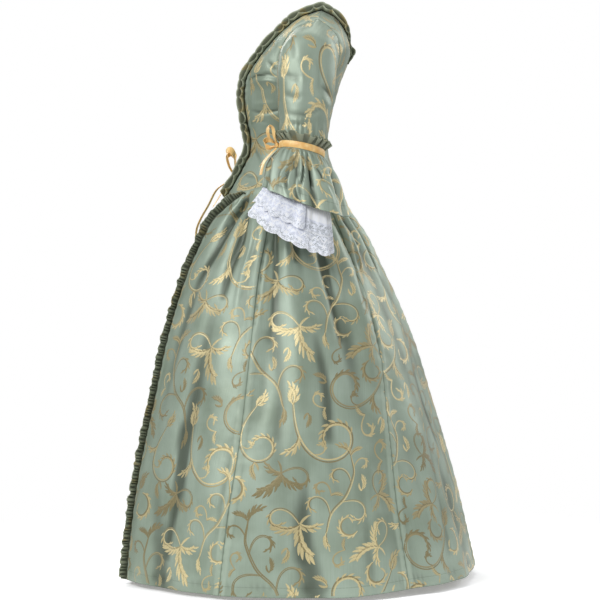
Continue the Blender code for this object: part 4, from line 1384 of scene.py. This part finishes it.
def flounce_grid():
    """The flounce with its pleats, its outward directions, and its creases' depth."""
    turn = turns(FLOUNCE_COLUMNS)
    fall = shares(FLOUNCE_ROWS)
    grid = curve([sleeve_ring(row, turn) for row in FLOUNCE], fall)
    out = ring_outward(grid)
    hem = end_distance(grid)
    run = hem[0] - hem
    around = np.radians(turn)
    depth = 1.5 * side_depth(grid, out, FLOUNCE_CREASES, SLEEVE_MIDDLE)
    gathers = np.sin(FLOUNCE_GATHERS * around + 2.2 * np.sin(3 * around))
    depth += 0.0022 * gathers * np.exp(-run / 0.030) + hem_depth(hem, around * 0.09)
    depth = depth * ease(run / 0.010) + pleat_depth(turn) * ease(fall[:, None] / PLEAT_START)
    grid = grid - depth[..., None] * out
    grid[0] += SEAM * unit(grid[1] - grid[0])
    return grid, out, depth


# Lace
LACE_ROWS = 53
LACE_INSIDE = 0.0025
LACE_WAVES = 8
LACE_WAVE_DEPTH = 0.004
LACE_SCALLOPS = 18
SCALLOP_DEPTH = 0.006
SCALLOP_CELLS = 12
LACE_PITCH = 0.027
TIER = (250.0, 372.0)
TIER_FALL = (0.14, 0.80)
TIER_ROWS = 33
TIER_SCALLOPS = 7


def lace_surface(flounce, flounce_out, turn, fall):
    """The lace fall's points at angles round the sleeve and shares of its length, and outward."""
    inside = flounce[0] - flounce_out[0] * LACE_INSIDE
    top = at_steps(inside, (turn + 180) % 360 / 360 * len(inside))
    grid = curve([top] + [sleeve_ring(row, turn) for row in LACE_FALL], fall)
    centre = hermite(np.arange(3), LACE_FALL[:, :3], fall * 3 - 1)[:, None]
    return grid, unit((grid - centre) * (1, 1, RING_TILT))


def scalloped(grid, fall, scallop):
    """The grid with its last rows drawn out into scallops along the fall."""
    along = unit(grid[-1] - grid[-2])
    grow = ease((fall - fall[-1] + 0.2) / 0.2)[:, None, None]
    return grid + SCALLOP_DEPTH * scallop[:, None] * along * grow


def lace_plane(grid, loop):
    """Cloth coordinates that follow the scallops: one pitch for each, and up from the edge."""
    _, v = cloth_plane(grid, loop)
    columns = grid.shape[1] + loop
    u = np.arange(columns) / SCALLOP_CELLS * LACE_PITCH
    return np.repeat(u[None], len(v), axis=0), v - v[-1]


def lace_strokes():
    """The threads of one scallop: its edge, a flower, sprays and a border above them."""
    wide = LACE_PITCH
    half = wide / 2
    quarters = np.arange(5) / 4
    found = []
    for height, rise, girth in ((0.0016, 0.0, 0.0017), (0.0048, 0.0012, 0.0010), (0.0430, 0.0, 0.0012)):
        points = np.stack([wide * quarters, -height - rise * np.sin(math.pi * quarters)], axis=-1)
        found.append(stem(points, (girth, girth), 0.003))
    for k in range(7):
        found.append(leaf((half, -0.0195), k * 360 / 7, 0.0068, 0.0028, 26, 0.002, 4))
    for k in range(5):
        found.append(leaf((0, -0.0320), 36 + k * 72, 0.0052, 0.0024, 20, 0.002, 4))
    for k in range(6):
        found.append(shoot((wide * (k + 0.5) / 6, -0.0050), 0, 0.0085, 300, (0.0007, 0.0007), 1.0, 0.0014))
    for side in (-1, 1):
        spray, high = (
            stem([(half + side * x, y) for x, y in points], widths, 0.002)
            for points, widths in (
                (((0.002, -0.0115), (0.007, -0.0085), (0.011, -0.0120)), (0.0010, 0.0012)),
                (((0, -0.0270), (0.004, -0.0330), (0.009, -0.0380)), (0.0012, 0.0010)),
            )
        )
        found += [spray, high] + comb(spray, 0.1, 0.9, 3, side, 0.004, 0.0018, 30)
        found += comb(high, 0.1, 0.9, 4, side, 0.0052, 0.0020, 30)
        found += comb(high, 0.2, 0.9, 3, -side, 0.0042, 0.0018, 30)
    for k in range(8):
        low, tall, after = ((wide * (k + x) / 8, y) for x, y in ((0, -0.0430), (0.5, -0.0470), (1, -0.0430)))
        found += [stem(ends, (0.0008, 0.0008), 0.003) for ends in ((low, tall), (tall, after))]
    return found


LACE_REPEAT = prepared(lace_strokes())


def lace_piece(name, node, grid, out, loop, kind, kept):
    """A lace shell with its raised threads."""
    piece = shell(name, grid, out, LACE, [lace_finish, lace_finish], loop, values={"lace": kind})
    on_gown(piece, node, "white_lace")
    threads = weave(
        name + "_threads", grid, out, loop, repeat=LACE_REPEAT, tile=(LACE_PITCH, 1.0), drop=0.0,
        plane=lace_plane(grid, loop), finish=lace_thread_finish, kept=kept,
    )
    declare(grid, loop, "gathered")


def make_lace(flounce, flounce_out):
    turn = turns(LACE_SCALLOPS * SCALLOP_CELLS)
    fall = shares(LACE_ROWS)
    grid, out = lace_surface(flounce, flounce_out, turn, fall)
    wave = np.sin(np.radians(turn) * LACE_WAVES) + 0.3 * np.sin(np.radians(turn) * 19 + 1)
    grid = grid + (LACE_WAVE_DEPTH * wave * fall[:, None])[..., None] * out
    grid = scalloped(grid, fall, np.abs(np.sin(np.radians(turn) * LACE_SCALLOPS / 2)))
    fall = fall[:, None]
    behind = ease((turn - 8) / 14) * ease((172 - turn) / 14)
    border = ease((fall - 0.68) / 0.02)
    kept = np.maximum(border, 1 - behind)
    # Kind rises towards 1 near the lower edge and on part of the border, where the holes are painted with
    # the shade seen through them
    kind = kept * (0.5 + 0.5 * np.maximum(ease((fall - 0.88) / 0.08), behind * border * 0.8))

    cells = TIER_SCALLOPS * SCALLOP_CELLS
    turn = np.linspace(*TIER, cells + 1)
    fall = np.linspace(*TIER_FALL, TIER_ROWS)
    share = shares(TIER_ROWS)[:, None]
    tier, tier_out = lace_surface(flounce, flounce_out, turn, fall)
    wave = np.sin(np.radians(turn) * LACE_WAVES) + 0.4 * np.sin(np.radians(turn) * 21)
    away = 0.0016 + 0.0044 * share + (LACE_WAVE_DEPTH * fall[:, None] + 0.001 * share) * wave
    scallop = np.abs(np.sin(shares(cells + 1) * math.pi * TIER_SCALLOPS))
    tier = scalloped(tier + away[..., None] * tier_out, fall, scallop)
    # Near its scallops the upper tier's holes are painted darker with the shade seen through them
    tier_kind = np.where(share > 0.9, 0.8, 0.5) * np.ones(cells + 1)
    for word, flip, _ in SIDES:
        name, rests_on = "lace_" + word, "flounce_" + word
        lace_piece(name + "_net", name, flip(grid), flip(out), True, kind, kept)
        lace_piece(
            name + "_upper_net", None, flip(tier), flip(tier_out), False, tier_kind, None,
        )


# Frills and ruffles
FRILL_HEIGHT = 0.020
FRILL_FOLDS = 19
FRILL_STEPS = 16
FRILL_OUT = 0.0130
FRILL_SWING = 0.0044

# Ruffles: the steps inwards and up of their heading, painted dark as the shade under them, and how they
# start
HEADING = ((0.0030, 0.0007), (0.0012, 0.0014))
HEADING_PAINTED_SHADE = 0.92
HEADING_OUT = 0.0012
RUFFLE_CLEAR = 0.007
RUFFLE_LONGER = 0.014


def heading_of(sleeve):
    """A sleeve's last ring, the way up from it and the way out of it."""
    return sleeve[-1], unit(sleeve[-8] - sleeve[-1]), ring_outward(sleeve[-1:])[0]


def painted_fold_shade(rise, phase, foot, within):
    """Shade painted on a gathered strip: pale at its rim, dark at its foot and inside its loops, where shade
    falls.
    """
    inside = 0.5 - 0.5 * np.sin(phase)
    below = ease((1 - rise) / 0.08)
    shade = 0.18 * below + (foot - 0.2) * (1 - rise) ** 1.2 + within * below * inside**1.5
    return np.clip(shade, 0, 0.95)


def frill_grid(sleeve):
    """The gathered strip above the ribbon."""
    end, up, out = heading_of(sleeve)
    foot = end + out * (SEAT + TRIM) + up * (RIBBON_HEIGHT + SEAT)
    count = FRILL_FOLDS * FRILL_STEPS
    foot, up, out = (at_steps(x, np.arange(count) * len(end) / count) for x in (foot, up, out))
    along = unit(np.roll(foot, -1, axis=0) - np.roll(foot, 1, axis=0))
    waves = np.arange(count) / FRILL_STEPS
    turn = 2 * math.pi * waves / FRILL_FOLDS
    phase = 2 * math.pi * waves + 1.1 * np.sin(3 * turn) + 0.8 * np.sin(5 * turn + 1)
    uneven = 1 + 0.2 * np.sin(3 * turn + 1) + 0.12 * np.sin(7 * turn)
    rise = shares(9)[:, None]
    grow = rise**0.6
    height = 0.94 * FRILL_HEIGHT * (1 + 0.06 * np.sin(5 * turn)) * rise
    swing = FRILL_SWING * grow * np.sin(phase) * uneven
    side = 0.0034 * grow * (np.sin(4 * turn) - np.sin(2 * phase))
    away = FRILL_OUT * rise**1.2 + 0.6 * swing
    grid = foot + up * (height - 0.9 * swing)[..., None] + out * away[..., None] + along * side[..., None]
    return grid[::-1], out, painted_fold_shade(rise, phase, 0.5, 0.32)[::-1]


def ruffle_path(path, count, smoothing, least):
    """Even points on a path, the way along, outward and up there, the stitched heading and the ends."""
    base = by_length(path, count)
    along = np.gradient(base, axis=0)
    for _ in range(smoothing):
        along[1:-1] = (along[:-2] + along[1:-1] + along[2:]) / 3
    along = unit(along)
    outward = along[:, [0, 2, 1]] * (0, -1, 1)
    up = body_outward(base)
    inward = unit(np.cross(along, up))
    heading = np.stack([base + inward * away + up * height for away, height in HEADING])
    share = shares(count)
    ends = between(least, 1, ease(np.minimum(share / 0.01, (1 - share) / 0.05)))
    return base, along, outward, up, heading, ends


# Skirt ruffle: its widths are given at shares of its run
RIBS = 128
RIB_STEPS = 6
RIB_LEAN = 0.6
RIB_FLAT = 0.7
RIB_SWING = 0.0034
RIB_OVERHANG = 0.0014
RIB_RISES = (0.0, 0.17, 0.34, 0.52, 0.70, 0.84, 0.94, 1.0)
RIB_WIDTHS = ((0.0, 0.020), (0.12, 0.018), (0.75, 0.018), (0.90, 0.022), (1.0, 0.025))


def ruffle_grid(path):
    """A closely gathered strip along a path, in rounded and uneven ribs above a heading painted dark as
    shade.
    """
    share = shares(RIBS * RIB_STEPS + 1)
    base, along, outward, up, heading, ends = ruffle_path(path, len(share), 60, 0.45)
    stand = unit(outward + (RIB_LEAN, 0, 0))
    aside = unit(np.cross(along, stand))
    sway = aside - RIB_FLAT * (aside * outward).sum(axis=-1, keepdims=True) * outward
    count = share * RIBS
    phase = 2 * math.pi * (count + 0.22 * np.sin(count * 1.7) + 0.16 * np.sin(count * 0.61))
    foot = base + up * HEADING_OUT + stand * SEAT + aside * TRIM / 2
    rise = np.array(RIB_RISES)[:, None]
    swing = RIB_SWING * wander(count * 2, 1, 0.4) * np.sin(phase) * rise**0.8 * ends
    slide = -RIB_OVERHANG * wander(count * 2, 2, 0.4) * np.sin(2 * phase) * rise**0.8
    tilt = 0.0050 * (wander(count * 0.8, 3, 1.0) - 1) * rise
    tall = np.interp(share, *np.transpose(RIB_WIDTHS)) * ends * wander(count * 0.7, 4, 0.13)
    tall = tall * (1 + 0.04 * np.sin(phase)) * rise * 0.94
    grid = foot + sum(
        way * far[..., None] for way, far in ((stand, tall), (sway, swing), (aside, tilt), (along, slide))
    )
    out = np.concatenate([np.broadcast_to(up, heading.shape), np.broadcast_to(aside, grid.shape)])
    shade = np.pad(painted_fold_shade(rise, phase, 0.85, 0.5), ((2, 0), (0, 0)), constant_values=HEADING_PAINTED_SHADE)
    return np.concatenate([heading, grid])[::-1], out[::-1], shade[::-1]


# Bodice ruffle: lip, spread and height as shares, and painted shade, from one rim to the middle
PUFF_ROWS = (
    (0.0030, 1.0, 0.93, 0.0), (0.0018, 1.0, 1.0, 0.0), (0.0006, 1.0, 1.0, 0.0), (0.0, 0.96, 0.84, 0.32),
    (0.0, 0.80, 0.52, 0.48), (0.0, 0.45, 0.18, 0.58), (0.0, 0.0, 0.0, 0.66),
)
PUFFS = 27
PUFF_STEPS = 15
PUFF_HALF = 0.0054
PUFF_OUT = 0.0072
PUFF_SIDE = 0.0110
PUFF_TILT = 0.28


def puffed_grid(path):
    """A strip folded lengthwise and pinched in, so that its rims part in a chain of uneven puffs."""
    count = shares(PUFFS * PUFF_STEPS + 1) * PUFFS
    base, _, outward, up, heading, ends = ruffle_path(path, len(count), 40, 0.25)
    pinched = np.abs(np.sin(math.pi * (count + 0.26 * np.sin(count * 1.9) + 0.17 * np.sin(count * 0.7))))
    half = wander(count, 7, 0.2) * (0.06 + 0.94 * pinched**0.6) * PUFF_HALF
    shift = 0.6 * (PUFF_HALF - half) + 0.0010 * np.sin(count * 2.3)
    flick = bell(pinched / 0.3) * np.maximum(wander(count, 8, 1.2) - 1, 0) * 0.0030
    side = PUFF_SIDE * wander(count, 9, 0.16) * (0.64 + 0.36 * pinched)
    foot = base + up * HEADING_OUT + outward * 0.0040
    lines, painted_shades = [], []
    for sign, rows in ((1, PUFF_ROWS), (-1, PUFF_ROWS[-2::-1])):
        for lip, spread, height, dark in rows:
            away = height * (PUFF_OUT + shift) + sign * (spread * half + lip)
            away = away + flick * (sign > 0) * (lip > 0)
            aside = height * side * (1 - sign * spread * PUFF_TILT)
            lines.append(foot + outward * (away * ends)[:, None] + (aside * ends)[:, None] * (1, 0, 0))
            # Painted shade, a little darker towards the pinches
            painted_shades.append(dark + 0.10 * (1 - pinched))
    shade = np.pad(np.clip(painted_shades, 0, 0.95), ((0, 2), (0, 0)), constant_values=HEADING_PAINTED_SHADE)
    return np.concatenate([lines, heading[::-1]]), (1.0, 0.0, 0.0), shade


def make_sleeves():
    sleeve, out, depth = sleeve_grid()
    flounce, flounce_out, pleats = flounce_grid()
    make_lace(flounce, flounce_out)
    frill, frill_out, frill_painted_shade = frill_grid(sleeve)
    end, up, ring_out = heading_of(sleeve)
    rise = np.linspace(1, 0, 9)[:, None, None]
    turn = np.arange(SLEEVE_COLUMNS) * 2 * math.pi / SLEEVE_COLUMNS
    crinkle = 0.0012 + 0.0004 * np.sin(31 * turn + 5 * np.sin(4 * turn))[:, None]
    puff = np.sin(math.pi * rise) * crinkle
    ribbon = end + ring_out * (SEAT + TRIM + puff) + up * RIBBON_HEIGHT * rise
    whole = sleeve - out * depth[..., None], out, depth, cloth_values()
    hem = end_distance(flounce) * np.ones(FLOUNCE_COLUMNS)
    fall = flounce, flounce_out, pleats, cloth_values(hem=hem)
    for word, flip, k in SIDES:
        name, light = "sleeve_" + word, 0.2 + 0.7 * k
        brocade_piece(name, whole, "hung", "bodice_front_" + word, (0.03, 0.02), light, flip, True)
        brocade_piece("flounce_" + word, fall, "gathered", name, (0.10, 0.21), light, flip, True)
        strip(
            "sleeve_frill_" + word, frill, frill_out, strip_finish, "gathered", name, flip, True, frill_painted_shade
        )
        strip("sleeve_ribbon_" + word, ribbon, ring_out, gold_finish, "stretched", name, flip, True)


def drawn_in(path, clear, end, beside):
    """The path with one end drawn in along its first stretch."""
    path = path.copy()
    path[end] += clear * unit(path[beside] - path[end])
    return path


def make_ruffles(front, back, skirt):
    neck = drawn_in(np.concatenate([front[:, 0], back[-2 : NAPE - 1 : -1, 0]]), -RUFFLE_LONGER, 0, 1)
    opening = drawn_in(skirt[::-1, 0], RUFFLE_CLEAR, -1, -2)
    for label, rests_on, (grid, out, shade) in (
        ("bodice_ruffle_", "bodice_front_", puffed_grid(neck)),
        ("skirt_ruffle_", "skirt_front_side_", ruffle_grid(opening)),
    ):
        for word, flip, _ in SIDES:
            strip(label + word, grid, out, strip_finish, "gathered", rests_on + word, flip, painted_shade=shade)


# Bows
BOW_STEPS = 41
BOW_ROWS = 9
KNOT_ROWS = 17
KNOT_COLUMNS = 24


def ribbon_grid(route, width, across, loop):
    """A flat ribbon along a smooth route, narrow and rippled where it is tied."""
    share = shares(BOW_STEPS)
    middle = curve(route, share)
    for _ in range(3):
        middle[1:-1] = (middle[:-2] + middle[1:-1] * 2 + middle[2:]) / 4
    along = unit(np.gradient(middle, axis=0))
    across = unit(across - along * (along @ across)[:, None])
    tied = np.minimum(share, 1 - share) if loop else share
    half = width / 2 * between(KNOT_SHARE, 1, ease(tied / KNOT_TAPER))[:, None]
    out = np.cross(along, across)
    lines = []
    for side in np.linspace(-1, 1, BOW_ROWS):
        ripple = 0.0009 * math.cos(side * 4.2) * (1 - ease(tied / 0.5))[:, None]
        lines.append(middle + across * half * side + out * (ripple - 0.0006 * side * side))
    return np.stack(lines), out


def knot_piece(node, centre, size):
    """A soft knot with wrapped folds."""
    polar = np.linspace(0.06, math.pi - 0.06, KNOT_ROWS)[:, None]
    turn = np.arange(KNOT_COLUMNS) * 2 * math.pi / KNOT_COLUMNS
    girth = np.sin(polar) ** 0.55 * (1 + 0.07 * np.cos(3 * turn + 2.2 * np.cos(polar)))
    ball = np.stack([girth * np.cos(turn), girth * np.sin(turn), np.cos(polar) + 0 * turn], axis=-1)
    tips = np.array(((0, 0, 1), (0, 0, -1)))
    points = np.concatenate([ball.reshape(-1, 3) * 1.02, tips]) * size / 2
    last = KNOT_ROWS * KNOT_COLUMNS
    ids = closed_grid(np.arange(last).reshape(KNOT_ROWS, KNOT_COLUMNS), True)
    rings = ((ids[0], last), (ids[-1, ::-1], last + 1))
    caps = [np.stack([ring[:-1] * 0 + tip, ring[:-1], ring[1:]], axis=-1) for ring, tip in rings]
    faces = np.concatenate([triangles(ids), *caps])
    a, b, c = np.moveaxis(points[faces], 1, 0)
    inward = (np.cross(b - a, c - a) * (a + b + c)).sum(axis=-1) < 0
    faces[inward] = faces[inward][:, ::-1]
    uv = points[faces][..., [0, 2]]
    on_gown(add_mesh(node + "_satin", points + centre, faces, uv, [gold_finish]), node, "gold_satin")


def middle_of(node):
    low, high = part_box(node)
    return np.array((low + high) / 2)


def make_bows():
    centre = middle_of("waist_bow_knot")
    knot_piece("waist_bow_knot", centre, WAIST_KNOT_SIZE)
    for (word, flip, _), tail in zip(SIDES, WAIST_TAILS):
        for kind, route, across in (
            ("loop", WAIST_LOOP, WAIST_LOOP_ACROSS),
            ("tail", tail, WAIST_TAIL_ACROSS),
        ):
            tie(f"waist_bow_{kind}_{word}", kind, route, across, WAIST_RIBBON, centre, flip, "bodice_centre")
    for word, flip, _ in SIDES:
        name = "sleeve_bow_" + word
        centre = middle_of(name + "_knot")
        knot_piece(name + "_knot", centre, SLEEVE_KNOT_SIZE)
        for kind, routes, ways in (
            ("loop", SLEEVE_LOOPS, SLEEVE_LOOPS_ACROSS),
            ("tail", SLEEVE_TAILS, SLEEVE_TAILS_ACROSS),
        ):
            for k in range(2):
                node, rests_on = f"{name}_{kind}_{k + 1}", "sleeve_ribbon_" + word
                tie(node, kind, routes[k], ways[k], SLEEVE_RIBBON, flip(centre), flip, rests_on)


def tie(node, kind, route, across, width, centre, flip, rests_on):
    """One loop or tail of a bow. The centre is the left or only knot's."""
    grid, out = ribbon_grid(route, width, np.array(across), kind == "loop")
    held = "hung" if kind == "tail" else "folded"
    strip(node, grid + centre, out, gold_finish, held, rests_on, flip)


# Room, light and camera
FLOOR_Z = -1.3905
SHADE_REACH = (0.75, 1.5)
AMBIENT = 0.33
WHITE = (1.0, 1.0, 1.0, 1)
LIGHTS = (
    ("key", (3.2, -2.7, 1.7), 1.6, 140.0),
    ("fill", (3.4, 2.4, 0.2), 2.4, 28.0),
    ("top", (-0.2, 0.2, 2.6), 1.8, 34.0),
    ("far_side", (-3.2, -1.8, 1.4), 2.2, 90.0),
    ("back", (-1.6, 3.4, 1.2), 2.2, 70.0),
)
LIGHT_AIM = (0, 0, -0.7)
CAMERA_PLACE = (4.7, -0.054, -0.707)
LENS = 112.8
SENSOR_WIDTH = 36.0


def make_floor():
    bpy.ops.mesh.primitive_circle_add(vertices=96, radius=4.0, fill_type="NGON", location=(0, 0, FLOOR_Z))
    floor = bpy.context.object
    floor.name = "floor"
    nodes = Nodes("pale_floor")
    distance = nodes.node("VectorMath", {"operation": "LENGTH"}, nodes.place).outputs["Value"]
    nodes.finish(
        Base_Color=(0.93, 0.93, 0.94, 1), Roughness=0.9, Specular_IOR_Level=0.0, Emission_Color=WHITE,
        Emission_Strength=0.25,
    )
    clear = nodes.node("BsdfTransparent").outputs[0]
    far = nodes.range(distance, *SHADE_REACH)
    mixed = nodes.node("MixShader", {}, far, nodes.shader.outputs[0], clear).outputs[0]
    nodes.put(nodes.tree.nodes["Material Output"], {"Surface": mixed})
    floor.data.materials.append(nodes.material)


def make_world():
    """A white studio, whose soft light on the gown is dimmer than the white that is seen."""
    world = bpy.data.worlds.new("studio")
    world.use_nodes = True
    tree = world.node_tree
    dim = tree.nodes["Background"]
    dim.inputs[0].default_value = (0.96, 0.98, 1.0, 1)
    dim.inputs[1].default_value = AMBIENT
    white = tree.nodes.new("ShaderNodeBackground")
    white.inputs[0].default_value = (1.0, 1.0, 1.0, 1)
    seen = tree.nodes.new("ShaderNodeLightPath")
    mixed = tree.nodes.new("ShaderNodeMixShader")
    tree.links.new(seen.outputs["Is Camera Ray"], mixed.inputs[0])
    tree.links.new(dim.outputs[0], mixed.inputs[1])
    tree.links.new(white.outputs[0], mixed.inputs[2])
    tree.links.new(mixed.outputs[0], tree.nodes["World Output"].inputs["Surface"])
    bpy.context.scene.world = world


def placed(name, data, place, rotation):
    thing = bpy.data.objects.new(name, data)
    thing.location = place
    thing.rotation_euler = rotation
    bpy.context.scene.collection.objects.link(thing)
    return thing


def make_lights_and_camera():
    for name, place, size, power in LIGHTS:
        data = bpy.data.lights.new(name, "AREA")
        data.size = size
        data.energy = power
        aim = Vector(LIGHT_AIM) - Vector(place)
        placed(name, data, place, aim.to_track_quat("-Z", "Y").to_euler())
    data = bpy.data.cameras.new("camera")
    data.lens = LENS
    data.sensor_width = SENSOR_WIDTH
    upright = (math.radians(90), 0, math.radians(90))
    bpy.context.scene.camera = placed("camera", data, CAMERA_PLACE, upright)
    bpy.context.scene.view_settings.view_transform = "Standard"


def main():
    for found in [o for o in bpy.data.objects if o.type in ("CAMERA", "LIGHT") or o.name == "Cube"]:
        bpy.data.objects.remove(found)
    skirt = make_skirt()
    front, back = make_bodice()
    make_sleeves()
    make_ruffles(front, back, skirt)
    make_bows()
    make_floor()
    make_world()
    make_lights_and_camera()


main()
